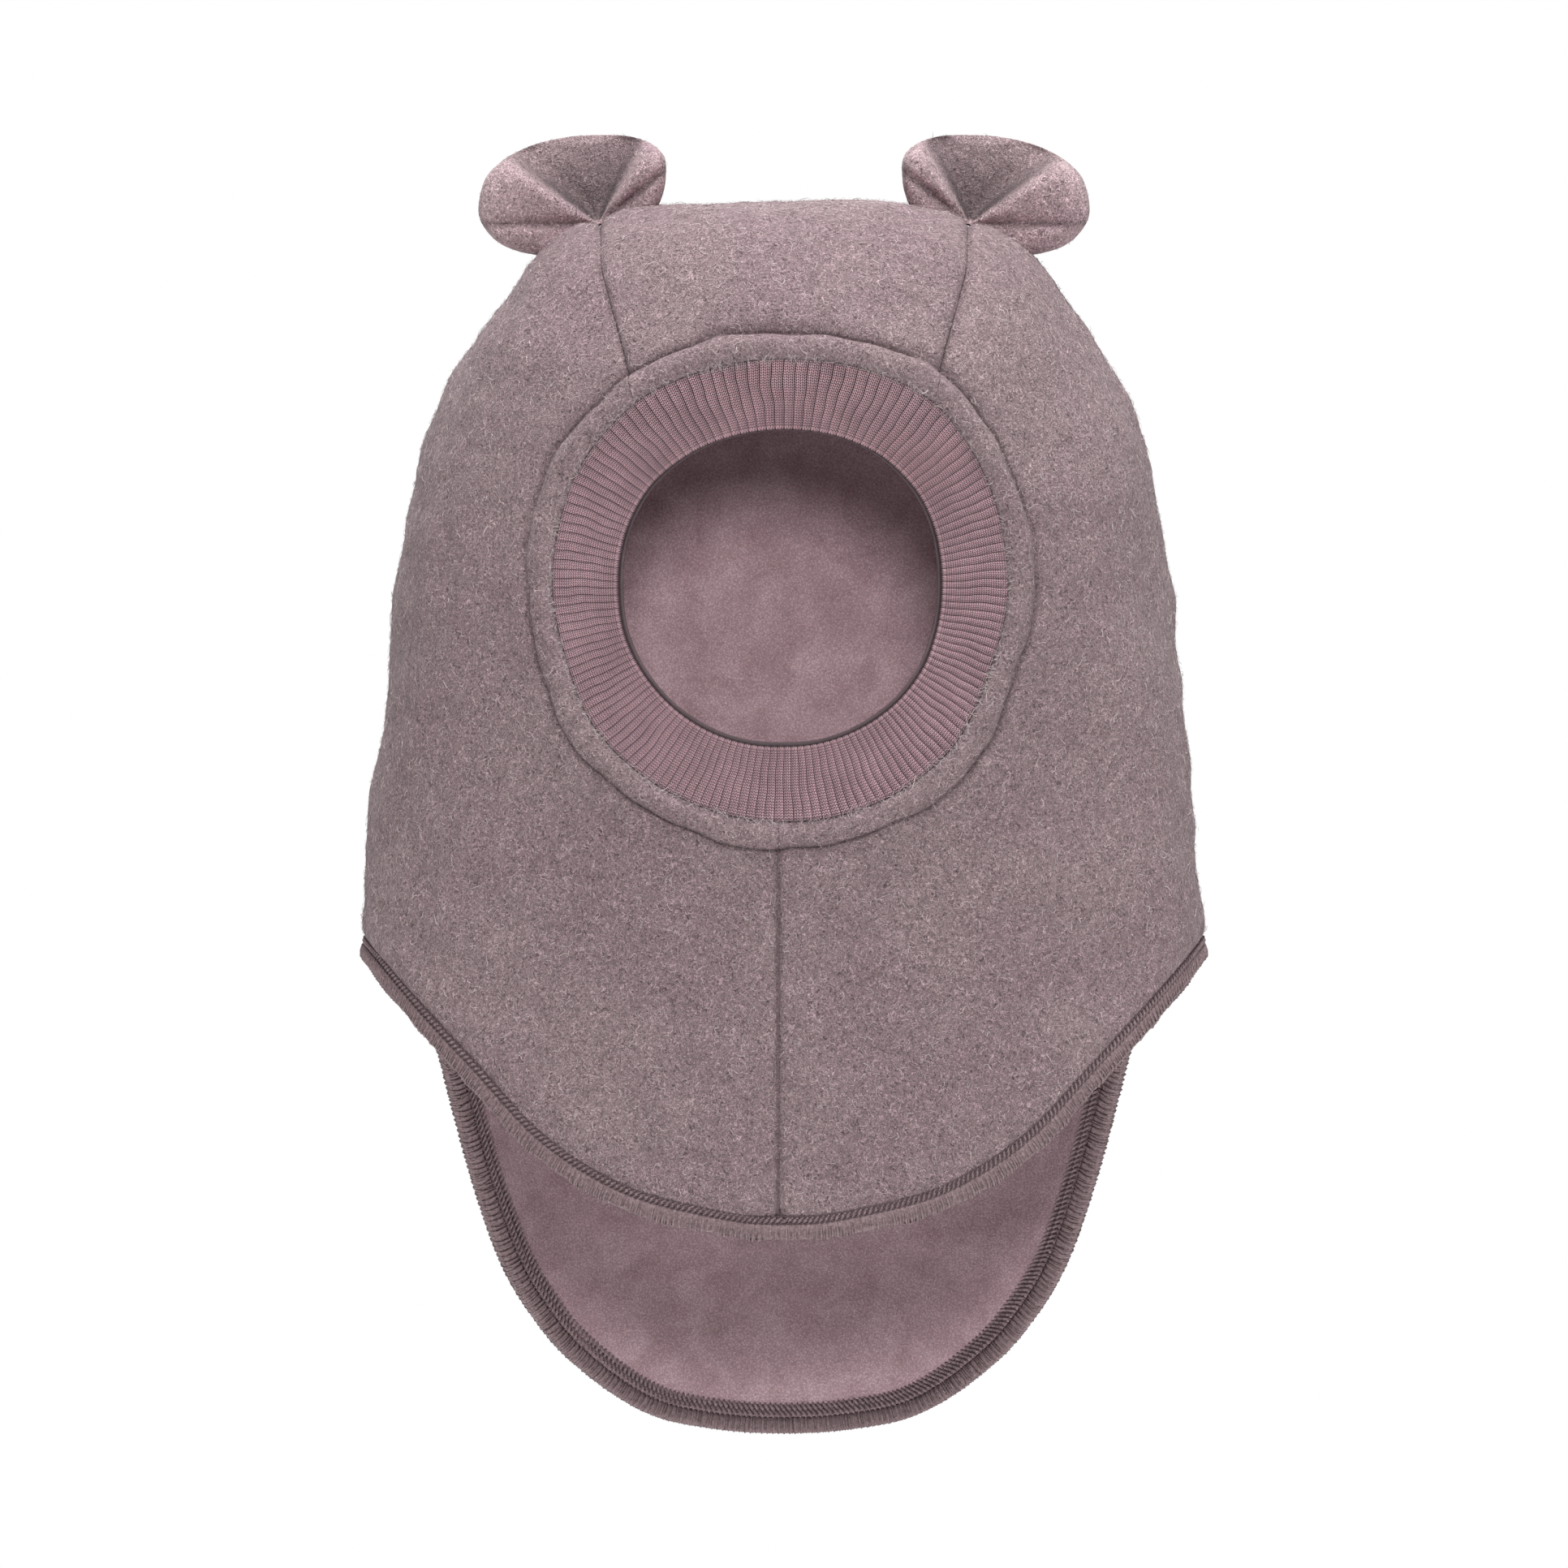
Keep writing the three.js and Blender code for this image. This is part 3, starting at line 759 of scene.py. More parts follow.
def strands(tree, vector, size, distortion):
    """Thin bright curly lines, as of matted fibres, about a size apart, in metres."""
    inputs = {"Vector": vector, "Scale": 1 / size, "Detail": 0.0, "Distortion": distortion, "Roughness": 0.6}
    inputs.update({"Lacunarity": 2.3, "Offset": 1.0, "Gain": 1.4})
    kind = "RIDGED_MULTIFRACTAL"
    return add_node(tree, "ShaderNodeTexNoise", inputs, noise_type=kind, normalize=False).outputs["Fac"]


def ramp(tree, factor, *stops):
    """A run of colours over a factor. Each stop is a position and a colour, or a number for a grey."""
    node = add_node(tree, "ShaderNodeValToRGB", {"Fac": factor})
    elements = node.color_ramp.elements
    while len(elements) < len(stops):
        elements.new(0.5)
    for element, (position, color) in zip(elements, stops):
        element.position = position
        element.color = (*([color] * 3 if isinstance(color, float) else color), 1)
    return node.outputs["Color"]


def shaded(tree, color, factor, *stops):
    """A colour times a run of levels over a factor."""
    return blend_colors(tree, 1.0, color, ramp(tree, factor, *stops), "MULTIPLY")


def uv_parts(tree):
    """The two parts of the UV map, as X and Y."""
    uv = add_node(tree, "ShaderNodeUVMap").outputs["UV"]
    return add_node(tree, "ShaderNodeSeparateXYZ", {"Vector": uv}).outputs


def math_node(tree, operation, *values):
    return add_node(tree, "ShaderNodeMath", dict(enumerate(values)), operation=operation).outputs[0]


def blend_colors(tree, factor, a, b, blend_type="MIX"):
    node = add_node(tree, "ShaderNodeMix", data_type="RGBA", blend_type=blend_type)
    for key, value in ((0, factor), (6, a), (7, b)):
        if isinstance(value, bpy.types.NodeSocket):
            tree.links.new(value, node.inputs[key])
        else:
            node.inputs[key].default_value = (*value, 1) if isinstance(value, tuple) else value
    return node.outputs[2]


def bump(tree, height, depth, strength=1.0, normal=None):
    inputs = {"Height": height, "Distance": depth, "Strength": strength}
    if normal:
        inputs["Normal"] = normal
    return add_node(tree, "ShaderNodeBump", inputs).outputs["Normal"]


def wool_material(colours):
    """Brushed wool: thin pale curls on an even mat, with small dark gaps, and painted shade and highlight from the
    UV map.
    """
    material, tree, shader = new_material("brushed_wool", 0.95, 0.08, 0.4)
    spot = place(tree)
    curls = strands(tree, spot, 0.0017, 2.0)
    more_curls = strands(tree, spot, 0.0012, 2.6)
    mat = grain(tree, spot, 0.0006, 3, 1.5)
    gaps = grain(tree, spot, 0.0011, 2, 2.0)
    tufts = grain(tree, spot, 0.006, 3, 1.0)
    patches = grain(tree, spot, 0.03, 3, 0.5)
    color = ramp(tree, mat, (0.3, colours.wool_dark), (0.7, colours.wool_light))
    color = shaded(tree, color, curls, (0.8, 1.0), (0.98, 1.85))
    color = shaded(tree, color, more_curls, (0.8, 1.0), (0.98, 1.65))
    color = shaded(tree, color, gaps, (0.33, (0.45, 0.43, 0.44)), (0.45, 1.0))
    color = shaded(tree, color, tufts, (0.3, (0.93, 0.925, 0.93)), (0.7, 1.06))
    color = shaded(tree, color, patches, (0.35, (0.96, 0.94, 0.96)), (0.65, (1.04, 1.05, 1.04)))
    # Painted shade and highlight: the UV level darkens the seams, the groove, the brow and the ears' creases and
    # cups, and paints the ears paler.
    color = shaded(tree, color, uv_parts(tree)["X"], (0.0, 0.0), (1.0, TOP_TONE))
    tree.links.new(color, shader.inputs["Base Color"])
    relief = bump(tree, tufts, 0.0006, 0.6, bump(tree, gaps, 0.0005, 0.6))
    tree.links.new(bump(tree, curls, 0.0002, 0.7, relief), shader.inputs["Normal"])
    return material


def fibre_material(colours):
    """Loose wool fibres, each with its own tone, which includes the painted shade of the cloth at its root."""
    material, tree, shader = new_material("wool_fibre", 0.8, 0.06)
    tone = ramp(tree, uv_parts(tree)["X"], (0.0, colours.fibre_dark), (1.0, colours.fibre_light))
    tree.links.new(tone, shader.inputs["Base Color"])
    return material


def lining_material(colours):
    """Napped jersey: small pale loops and a fine grain over a faint mottle."""
    material, tree, shader = new_material("napped_jersey", 0.9, 0.08, 0.4)
    spot = place(tree)
    nap = grain(tree, spot, 0.0005, 2, 0.6, 0.6)
    loops = add_node(tree, "ShaderNodeTexVoronoi", {"Vector": spot, "Scale": 1 / 0.0005}).outputs["Distance"]
    mottle = grain(tree, spot, 0.009, 5, 0.6)
    color = ramp(tree, mottle, (0.3, colours.lining_dark), (0.7, colours.lining_light))
    color = shaded(tree, color, nap, (0.33, (0.84, 0.82, 0.83)), (0.52, 1.0), (0.7, 1.15))
    color = shaded(tree, color, loops, (0.15, 1.42), (0.4, 1.03), (0.7, (0.9, 0.89, 0.9)))
    tree.links.new(color, shader.inputs["Base Color"])
    tree.links.new(bump(tree, nap, 0.0005, 0.8), shader.inputs["Normal"])
    return material


# Painted shade and highlight across a rib, from the middle of one gutter to the middle of the next: dark in the
# gutter, palest on the edge beside it, then darker towards the next gutter.
RIB_PAINTED_SHADE_AND_HIGHLIGHT = ((0.0, 0.3), (0.05, 0.4), (0.1, 1.5), (0.2, 1.5), (0.32, 1.25), (0.6, 1.2), (0.93, 1.0), (1.0, 0.3))


def rib_material(colours):
    """Fine rib knit: columns of small chevrons, counted across and along by the UV map.

    Each rib has a dark gutter of painted shade, a pale edge of painted highlight beside it and RIB_COLUMNS columns.
    Past the lip it is plain and dark, a painted shadow that fades into the lining's colour.
    """
    material, tree, shader = new_material("knitted_rib", 0.88, 0.05)
    wale, course, _ = uv_parts(tree)
    across = math_node(tree, "ABSOLUTE", math_node(tree, "SUBTRACT", math_node(tree, "FRACT", wale), 0.5))
    slanted = math_node(tree, "ADD", course, math_node(tree, "MULTIPLY", across, 1.3))
    along = math_node(tree, "SINE", math_node(tree, "MULTIPLY", math_node(tree, "FRACT", slanted), math.pi))
    width = math_node(tree, "SINE", math_node(tree, "MULTIPLY", across, 2 * math.pi))
    loops = math_node(tree, "MULTIPLY", along, width)
    fuzz = grain(tree, place(tree), 0.0006, 3, 1.0)
    uneven = grain(tree, place(tree), 0.009, 3)
    color = ramp(tree, loops, (0.1, colours.rib_dark), (0.55, colours.rib_light))
    rib = math_node(tree, "FRACT", math_node(tree, "DIVIDE", wale, float(RIB_COLUMNS)))
    color = shaded(tree, color, rib, *RIB_PAINTED_SHADE_AND_HIGHLIGHT)
    inward = math_node(tree, "DIVIDE", course, 1.2 * RIB_COURSES)
    # Painted shadow just inside the lip: dark at the lip, fading into the lining's colour.
    past_lip = ramp(tree, inward, (1.015 / 1.2, 0.0), (1.04 / 1.2, 1.0))
    painted_lip_shadow = ramp(tree, inward, (1.045 / 1.2, colours.lip_painted_shadow), (1.09 / 1.2, colours.lining_light))
    color = blend_colors(tree, past_lip, color, painted_lip_shadow)
    color = shaded(tree, color, fuzz, (0.3, 0.85), (0.7, 1.13))
    color = shaded(tree, color, uneven, (0.3, 0.88), (0.7, 1.1))
    tree.links.new(color, shader.inputs["Base Color"])
    tree.links.new(bump(tree, loops, 0.0006, 1.0, bump(tree, fuzz, 0.0002, 0.5)), shader.inputs["Normal"])
    return material


def thread_material(colours):
    """Twisted thread, flecked along its length."""
    material, tree, shader = new_material("twisted_thread", 0.75, 0.05)
    fleck = grain(tree, place(tree), 0.0006, 3, 1.0)
    tone = ramp(tree, fleck, (0.3, colours.thread_dark), (0.7, colours.thread_light))
    tree.links.new(tone, shader.inputs["Base Color"])
    return material


def stitch_shade_material(colours):
    """Painted shade between and under the stitches: one dark colour for the sheets under the rows and for the
    needle lines.
    """
    material, _, shader = new_material("painted_stitch_shade", 0.95, 0.0)
    shader.inputs["Base Color"].default_value = (*colours.thread_painted_shade, 1)
    return material


# Sizes and colours that can be changed in the sidebar.


def length_property(name, description, default):
    return bpy.props.FloatProperty(
        name=name, description=description, default=default, min=0, unit="LENGTH", precision=5
    )


def color_property(name, description, default):
    return bpy.props.FloatVectorProperty(
        name=name, description=description, default=default, subtype="COLOR", min=0, max=1
    )


class HatSizes(bpy.types.PropertyGroup):
    rib_height: length_property("Rib height", "How far each rib of the cuff stands up", 0.00075)
    fibre_length: length_property("Fibre length", "Length of a long loose fibre of the fleece", 0.004)
    fibre_width: length_property("Fibre width", "Width of a loose fibre at its root", 0.00017)
    fibre_spacing: length_property("Fibre spacing", "Distance between neighbouring loose fibres", 0.00156)
    thread_width: length_property("Thread width", "Thickness of the overlock thread", 0.00042)
    stitch_pitch: length_property("Stitch pitch", "Distance from one overlock stitch to the next", 0.00142)


class HatColours(bpy.types.PropertyGroup):
    wool_dark: color_property("Wool, dark", "Between the curls of the fleece", srgb(112, 95, 98))
    wool_light: color_property("Wool, light", "On the curls of the fleece", srgb(156, 137, 140))
    fibre_dark: color_property("Fibre, dark", "Darkest loose fibres", srgb(112, 95, 98))
    fibre_light: color_property("Fibre, light", "Palest loose fibres", srgb(230, 214, 215))
    lining_dark: color_property("Lining, dark", "Hollows of the lining's mottle", srgb(139, 115, 120))
    lining_light: color_property("Lining, light", "Lights of the lining's mottle", srgb(159, 136, 141))
    rib_dark: color_property("Rib, dark", "Between the knitted loops", srgb(68, 42, 50))
    rib_light: color_property("Rib, light", "On the knitted loops", srgb(240, 198, 208))
    # A painted shadow: the dark colour just inside the cuff's lip.
    lip_painted_shadow: color_property("Cuff, inside", "Just inside the cuff's lip", srgb(66, 48, 54))
    thread_dark: color_property("Thread, dark", "Shaded side of the overlock thread", srgb(112, 92, 95))
    thread_light: color_property("Thread, light", "Light side of the overlock thread", srgb(166, 145, 148))
    # Painted shade between and under the stitches of the hem.
    thread_painted_shade: color_property("Thread, sunk", "Between and under the stitches of the hem", srgb(100, 84, 88))
    backdrop: color_property("Backdrop", "Floor and surroundings", (1.0, 1.0, 1.0))


def sizes():
    return bpy.context.scene.hat_sizes


def colours():
    return bpy.context.scene.hat_colours


def shared_material(name, build):
    return bpy.data.materials.get(name) or build(colours())


# Loose fibres.


FIBRE_STEPS = 4


def surface_samples(mesh, spacing, rng, keep):
    """Random points, normals and tones on a mesh, in millimetres, about one for each square of the spacing. The
    tones carry the painted shade stored in the mesh's UV map.
    """
    mesh.calc_loop_triangles()
    corners, loops = np.empty((2, len(mesh.loop_triangles) * 3), int)
    mesh.loop_triangles.foreach_get("vertices", corners)
    mesh.loop_triangles.foreach_get("loops", loops)
    places = np.empty(len(mesh.vertices) * 3)
    mesh.vertices.foreach_get("co", places)
    tone = np.ones(len(mesh.loops) * 2)
    if mesh.uv_layers:
        mesh.uv_layers[0].data.foreach_get("uv", tone)
        tone *= TOP_TONE
    tone = tone[::2][loops].reshape(-1, 3).mean(axis=1)
    a, b, c = np.moveaxis(places.reshape(-1, 3)[corners.reshape(-1, 3)] / MM, 1, 0)
    normal = np.cross(b - a, c - a)
    area = np.linalg.norm(normal, axis=1) / 2
    normal = unit(normal)
    area = area * keep((a + b + c) / 3, normal)
    count = int(area.sum() / spacing**2)
    pick = rng.choice(len(area), count, p=area / area.sum())
    u, v = np.sqrt(rng.random(count))[:, None], rng.random(count)[:, None]
    return (1 - u) * a[pick] + u * (1 - v) * b[pick] + u * v * c[pick], normal[pick], tone[pick]


def add_fibres(name, source, seed, keep, spacing=1.0, reach=1.0, lift=1.0, comb=None):
    """Curly fibres that lie on a piece of fleece, some standing off it. comb gives the way they tend to lie."""
    rng = np.random.default_rng(seed)
    gap, long = sizes().fibre_spacing * spacing / MM, sizes().fibre_length * reach / MM
    points, normals, tones = surface_samples(source.data, gap, rng, keep)
    count = len(points)
    aside = unit(np.cross(normals, rng.normal(size=(count, 3))))
    lean = comb(points) if comb else np.zeros((count, 3))
    standing = (lean * normals).sum(axis=1)[:, None]
    aside = unit(aside + lean - normals * standing)
    ahead = np.cross(normals, aside)
    t = np.linspace(0, 1, FIBRE_STEPS + 1)
    length = long * rng.uniform(0.35, 1, count)
    turning = rng.normal(0, 3.2, count)[:, None] * t + 1.1 * np.sin(rng.uniform(0, 6.3, count)[:, None] + 5 * t)
    turning *= 1 - 0.4 * np.minimum(np.linalg.norm(lean, axis=1), 1.6)[:, None]
    step = (length / FIBRE_STEPS)[:, None]
    run = np.cumsum(np.cos(turning) * step, axis=1) - np.cos(turning[:, :1]) * step
    drift = np.cumsum(np.sin(turning) * step, axis=1) - np.sin(turning[:, :1]) * step
    loft = np.where(rng.random(count) < 0.08, rng.uniform(0.5, 0.9, count), rng.uniform(0.1, 0.5, count)) * lift
    rise = loft[:, None] * np.sin(rng.uniform(1.4, 2.9, count)[:, None] * t) - 0.12
    rise += 0.7 * np.maximum(standing - 0.8, 0) * length[:, None] * t
    path = (
        points[:, None]
        + aside[:, None] * run[..., None]
        + ahead[:, None] * drift[..., None]
        + normals[:, None] * rise[..., None]
    )
    along = unit(np.gradient(path, axis=1))
    flat = unit(np.cross(along, normals[:, None]))
    tilt = rng.uniform(-0.9, 0.9, count)[:, None, None]
    flat = flat * np.cos(tilt) + np.cross(along, flat) * np.sin(tilt)
    half = sizes().fibre_width / MM / 2 * rng.uniform(0.6, 1.1, count)[:, None] * (1 - 0.7 * t)
    rows = np.stack([path - flat * half[..., None], path + flat * half[..., None]], axis=2)
    # Each fibre takes the painted shade of the cloth at its root.
    tone = (rng.random(count) + 0.55) * np.minimum(tones, 1.25) - 0.55
    uv = np.stack([np.broadcast_to(tone[:, None, None], rows.shape[:3]), np.zeros(rows.shape[:3])], axis=-1)
    mesh = array_mesh(name, *strips(rows, uv))
    return finish_mesh(mesh, name, shared_material("wool_fibre", fibre_material), "wool_fleece")


def towards_opening(points):
    """Close to the edge of the opening the fibres reach out over the cuff."""
    middle = np.array([0, -FRONT_DEPTH * 0.85, WALL - OPENING_DROP])
    return 1.6 * unit(middle - points) * (from_opening(points) < 1.6)[:, None]


def on_fleece(places, normals):
    """Fibre density on a panel: none on its inner side, and less in the seams and the groove of the band."""
    facing = (normals * outward(places)).sum(axis=1) > 0.35
    edge = from_opening(places)
    seam = np.where(edge < 6, 1, np.clip(from_seams(places) / 1.2, 0.4, 1))
    groove = np.clip(np.abs(edge - GROOVE) / 1.2, 0.6, 1) + 5 * (edge < 1.2)
    hem = np.clip((from_hem(places) - 5.4) / 1.5, 0, 1)
    return facing * seam * groove * hem


# Operators, one for each piece or group of like pieces.


class FleecePanels(bpy.types.Operator):
    """Make the crown panel and the two side panels, with the stitched band round the face opening"""

    bl_idname = "hat.fleece_panels"
    bl_label = "Fleece panels"

    def execute(self, context):
        sheet = hood_sheet(220, 30, 99, BAND_RINGS, EDGING_HEIGHT, 7)
        cut_seams(sheet)
        numbers = panel_numbers(centres(sheet))
        wool = shared_material("brushed_wool", wool_material)
        for number, name in enumerate(("crown_panel", "side_panel_left", "side_panel_right")):
            panel = sheet.copy()
            panel.faces.ensure_lookup_table()
            others = [face for face, mine in zip(panel.faces, numbers == number) if not mine]
            bmesh.ops.delete(panel, geom=others, context="FACES")
            thicken(panel, fleece_relief, FLEECE)
            set_tone_and_painted_shade(finish_piece(panel, name + "_fleece", wool, "wool_fleece", name), fleece_painted_shade)
        sheet.free()
        return {"FINISHED"}


class InnerLining(bpy.types.Operator):
    """Make the jersey lining that shows through the face opening and on the back bib"""

    bl_idname = "hat.inner_lining"
    bl_label = "Lining"

    def execute(self, context):
        depth = FLEECE + LAYER_GAP
        sheet = hood_sheet(132, 18, 66, (0, 1.5, 3, 6, 9.4), EDGING_HEIGHT, 5)
        places = coordinates(sheet)
        move_to(sheet.verts, places - depth * outward(places))
        thicken(sheet, lambda points: np.zeros(len(points)), LINING, lining_relief)
        jersey = shared_material("napped_jersey", lining_material)
        finish_piece(sheet, "lining_jersey_layer", jersey, "lining_jersey", "lining")
        return {"FINISHED"}


class FaceCuff(bpy.types.Operator):
    """Make the ribbed knit cuff inside the face opening"""

    bl_idname = "hat.face_cuff"
    bl_label = "Face cuff"

    ribs = 144
    cells_per_rib = 8
    front_rows = 22
    lip_rows = 8
    back_rows = 4

    def execute(self, context):
        bm = bmesh.new()
        rows = self.front_rows + self.lip_rows + self.back_rows + 2
        verts, across, down = grid(bm, self.ribs * self.cells_per_rib, rows)
        turn = 2 * math.pi * across
        step = np.rint(down * rows)
        reach = np.clip(step / self.front_rows, 0, 1)
        around_lip = np.clip((step - self.front_rows) / self.lip_rows, 0, 1)
        going_back = np.clip((step - self.front_rows - self.lip_rows) / self.back_rows, 0, 1)
        half = CUFF_THICKNESS / 2
        inward = np.where(going_back > 0, 1 - going_back, reach)
        rounding = math.pi / 2 * np.clip(around_lip / 0.4, 0, 1)
        # The flange reaches in past the lip, wider at the bottom and sides than at the top, as a sheet for the
        # painted shadow inside the cuff.
        painted_shadow_flange = np.clip(around_lip / 0.6 - 2 / 3, 0, 1)
        deep = half * (1 - np.cos(rounding) + painted_shadow_flange)
        over = (half * np.sin(rounding) + 1.6 * np.sqrt(0.5 - 0.45 * np.cos(turn)) * painted_shadow_flange) * (1 - going_back)
        closing = step >= rows - 1
        inward = np.where(closing, 0, inward)
        deep = np.where(step == rows, 0, np.where(closing, half, deep))
        places, facing = self.cuff_points(turn, inward, over, deep)
        lean = self.rib_turn(turn, inward)
        open_ribs = 0.5 + 0.5 * np.cos(2 * turn)
        crest = np.abs(np.sin(self.ribs * lean / 2)) ** (0.35 + 0.3 * open_ribs)
        ribbed = np.clip(1 - going_back * 2, 0, 1) * np.clip(step / 2, 0, 1)
        ribbed = ribbed * np.clip(2.75 - 2.5 * deep / half, 0, 1)
        ribbed = ribbed * (0.75 + 0.4 * open_ribs)
        places = places - facing * (sizes().rib_height / MM * (1 - crest) * ribbed)[:, None]
        move_to(verts, places)
        layer = bm.loops.layers.uv.new("UVMap")
        knit = {}
        course = RIB_COURSES * (reach + 0.1 * around_lip + 0.1 * going_back)
        for vert, wale, row in zip(verts, lean * self.ribs * RIB_COLUMNS / (2 * math.pi), course):
            knit[vert] = (wale, row)
        for face in bm.faces:
            for loop in face.loops:
                loop[layer].uv = knit[loop.vert]
        bmesh.ops.remove_doubles(bm, verts=bm.verts[:], dist=0.01)
        face_outwards(bm)
        finish_piece(bm, "face_cuff_rib", shared_material("knitted_rib", rib_material), "rib_knit", "face_cuff")
        return {"FINISHED"}

    def rib_turn(self, turn, inward):
        """Where the ribs run: closer at the sides than at the top, and bent a little here and there."""
        spread = -0.04 * np.sin(2 * turn) - 0.12 * np.sin(turn)
        sway = 0.008 * np.sin(3 * turn + 2.6) * np.sin(3 * inward + 0.5)
        bend = 0.003 * np.sin(8 * turn + 2) * np.sin(7 * inward)
        bend = bend + 0.003 * np.sin(19 * turn) * np.sin(11 * inward)
        return turn + spread + (sway + bend) * np.sin(math.pi * np.clip(inward, 0, 1))

    def cuff_points(self, turn, inward, over, deep):
        """Points on the cuff and the way it faces, from its outer edge, where inward is 0, to the hole."""
        side, up = np.sin(turn), np.cos(turn)
        outer = CUFF_RADIUS + opening_outline("edge", turn)
        edge = face_point(outer * side, OPENING_DROP - outer * up)
        edge = edge - outward(edge) * CUFF_SINK
        brow, chin = face_point(np.zeros(2), OPENING_DROP + CUFF_RADIUS * np.array([-1, 1]))
        lean = (brow[1] - chin[1]) / (2 * CUFF_RADIUS)
        wave = 0.5 * np.sin(5 * turn + 0.4) + 0.3 * np.sin(11 * turn + 1.7)
        radius = HOLE_RADIUS + opening_outline("hole", turn)
        middle = (brow + chin) / 2
        hole = points_of(
            radius * side, middle[1] + HOLE_RECESS + lean * radius * up + wave, middle[2] + radius * up
        )
        slope = unit(hole - edge)
        facing = unit(np.cross(slope, points_of(-up, np.zeros_like(up), side)))
        facing = facing * np.where(facing[..., 1:2] > 0, -1, 1)
        half = CUFF_THICKNESS / 2
        belly = 0.8 * np.sin(math.pi * inward)
        places = edge + (hole - slope * half - edge) * inward[..., None]
        places = places + slope * over[..., None] + facing * (belly * (deep < half) - deep)[..., None]
        return places, facing


class OverlockedHem(bpy.types.Operator):
    """Make the bound edge of the hem, its overlock threads, its rows of stitches and the dark sheets of painted
    shade under the rows
    """

    bl_idname = "hat.overlocked_hem"
    bl_label = "Overlocked hem"

    ring_steps = 520
    # Heights above the edge, in mm: the ends of the threads on each face, the slanted stitches on each face, and
    # the lines of the needle thread, painted dark for the shade of their groove.
    outer_band = 3.5
    inner_band = 4.5
    outer_stitches = (4.5,)
    inner_stitches = (5.0, 6.7)
    needle_lines = (3.65, 5.4)
    half_row = 0.78

    def execute(self, context):
        self.make_binding()
        stitches = round(hem_length() / (sizes().stitch_pitch / MM))
        self.make_threads(stitches)
        self.make_rows(stitches)
        return {"FINISHED"}

    def make_ring(self, name, high, deep, material, *nodes):
        """A closed band round the hem: high and deep give its section by the angle round it."""
        bm = bmesh.new()
        verts, across, down = grid(bm, self.ring_steps, 14)
        bearing = np.append(even_hem(self.ring_steps), math.pi)[np.rint(across * self.ring_steps).astype(int)]
        point, out, up = hem_frame(bearing)
        angle = 2 * math.pi * down
        move_to(verts, point + out * deep(angle)[:, None] + up * high(angle)[:, None])
        bmesh.ops.remove_doubles(bm, verts=bm.verts[:], dist=0.005)
        face_outwards(bm)
        return finish_piece(bm, name, material, "overlock_thread", *nodes)

    def make_binding(self):
        thread = shared_material("twisted_thread", thread_material)
        # The painted stitch shade, a dark colour standing in for the shade between and under the stitches.
        gaps = shared_material("painted_stitch_shade", stitch_shade_material)
        half_wall, half_height = WALL / 2 + 0.1, EDGING_HEIGHT / 2
        binding = self.make_ring(
            "hem_binding",
            lambda angle: half_height * (1 + np.sign(np.sin(angle)) * np.abs(np.sin(angle)) ** 0.8),
            lambda angle: half_wall * np.sign(np.cos(angle)) * np.abs(np.cos(angle)) ** 0.6 - WALL / 2,
            thread,
            "hem_edging",
        )
        # Dark sheets under the rows of stitches: painted shade between and under the stitches.
        for name, face, rows, depth in (
            ("hem_outer_shade_sheet", 1, self.outer_stitches, 0.62),
            ("hem_inner_shade_sheet", -1, self.inner_stitches, WALL - 0.3),
        ):
            middle = (rows[0] + rows[-1]) / 2
            half = (rows[-1] - rows[0]) / 2 + 0.6
            self.make_ring(
                name,
                lambda angle, middle=middle, half=half: middle + half * np.cos(angle),
                lambda angle, face=face, depth=depth: face * 0.3 * np.sin(angle) - depth,
                gaps,
            )
        set_tone_and_painted_shade(binding, lambda points: np.full(len(points), 0.6))
        add_fibres("hem_fibres", binding, 50, front_edge, 0.46, 0.34, 0.9)

    def make_threads(self, stitches):
        """Threads that cross the edge at right angles, a thick one and a thin one to a stitch."""
        rng = np.random.default_rng(21)
        count = 2 * stitches
        radius = sizes().thread_width / MM / 2 * np.where(np.arange(count) % 2, 1.1, 1.6)
        radius = radius * rng.uniform(0.8, 1.15, count)
        stations = np.linspace(0, 1, 8)
        step = 2 * math.pi / count
        lean = rng.normal(0, 0.25, (count, 1)) + np.where(np.arange(count) % 2, 0.3, -0.3)[:, None]
        bearing = even_hem(count)[:, None] + lean * (2 * stations - 1) * step
        above = self.outer_band * (1 - np.clip(stations / 0.35, 0, 1))
        above = above + self.inner_band * np.clip((stations - 0.62) / 0.38, 0, 1)
        uneven = 0.25 * np.sin(np.arange(count) * 0.21) + 0.2 * np.sin(np.arange(count) * 0.57 + 1)
        height = above + rng.normal(0, 0.12, (count, 1)) * (above > 1)
        point, out, up = hem_frame(bearing)
        half = WALL / 2 + radius[:, None] * rng.uniform(0.3, 0.9, (count, 1))
        swing = math.pi * np.clip((stations - 0.3) / 0.38, 0, 1)
        ahead = np.cos(even_hem(count)) > 0
        loose = np.where(ahead, 0.1 + uneven + rng.uniform(-0.2, 0.2, count), rng.uniform(-0.22, -0.12, count))
        drop = np.sin(swing) * loose[:, None]
        path = point + out * (half * np.cos(swing) - WALL / 2)[..., None] + up * (height - drop)[..., None]
        points, quads, uvs = tubes(path, radius, 4)
        mesh = array_mesh("hem_threads", points, quads, uvs)
        finish_mesh(mesh, "hem_threads", shared_material("twisted_thread", thread_material), "overlock_thread")

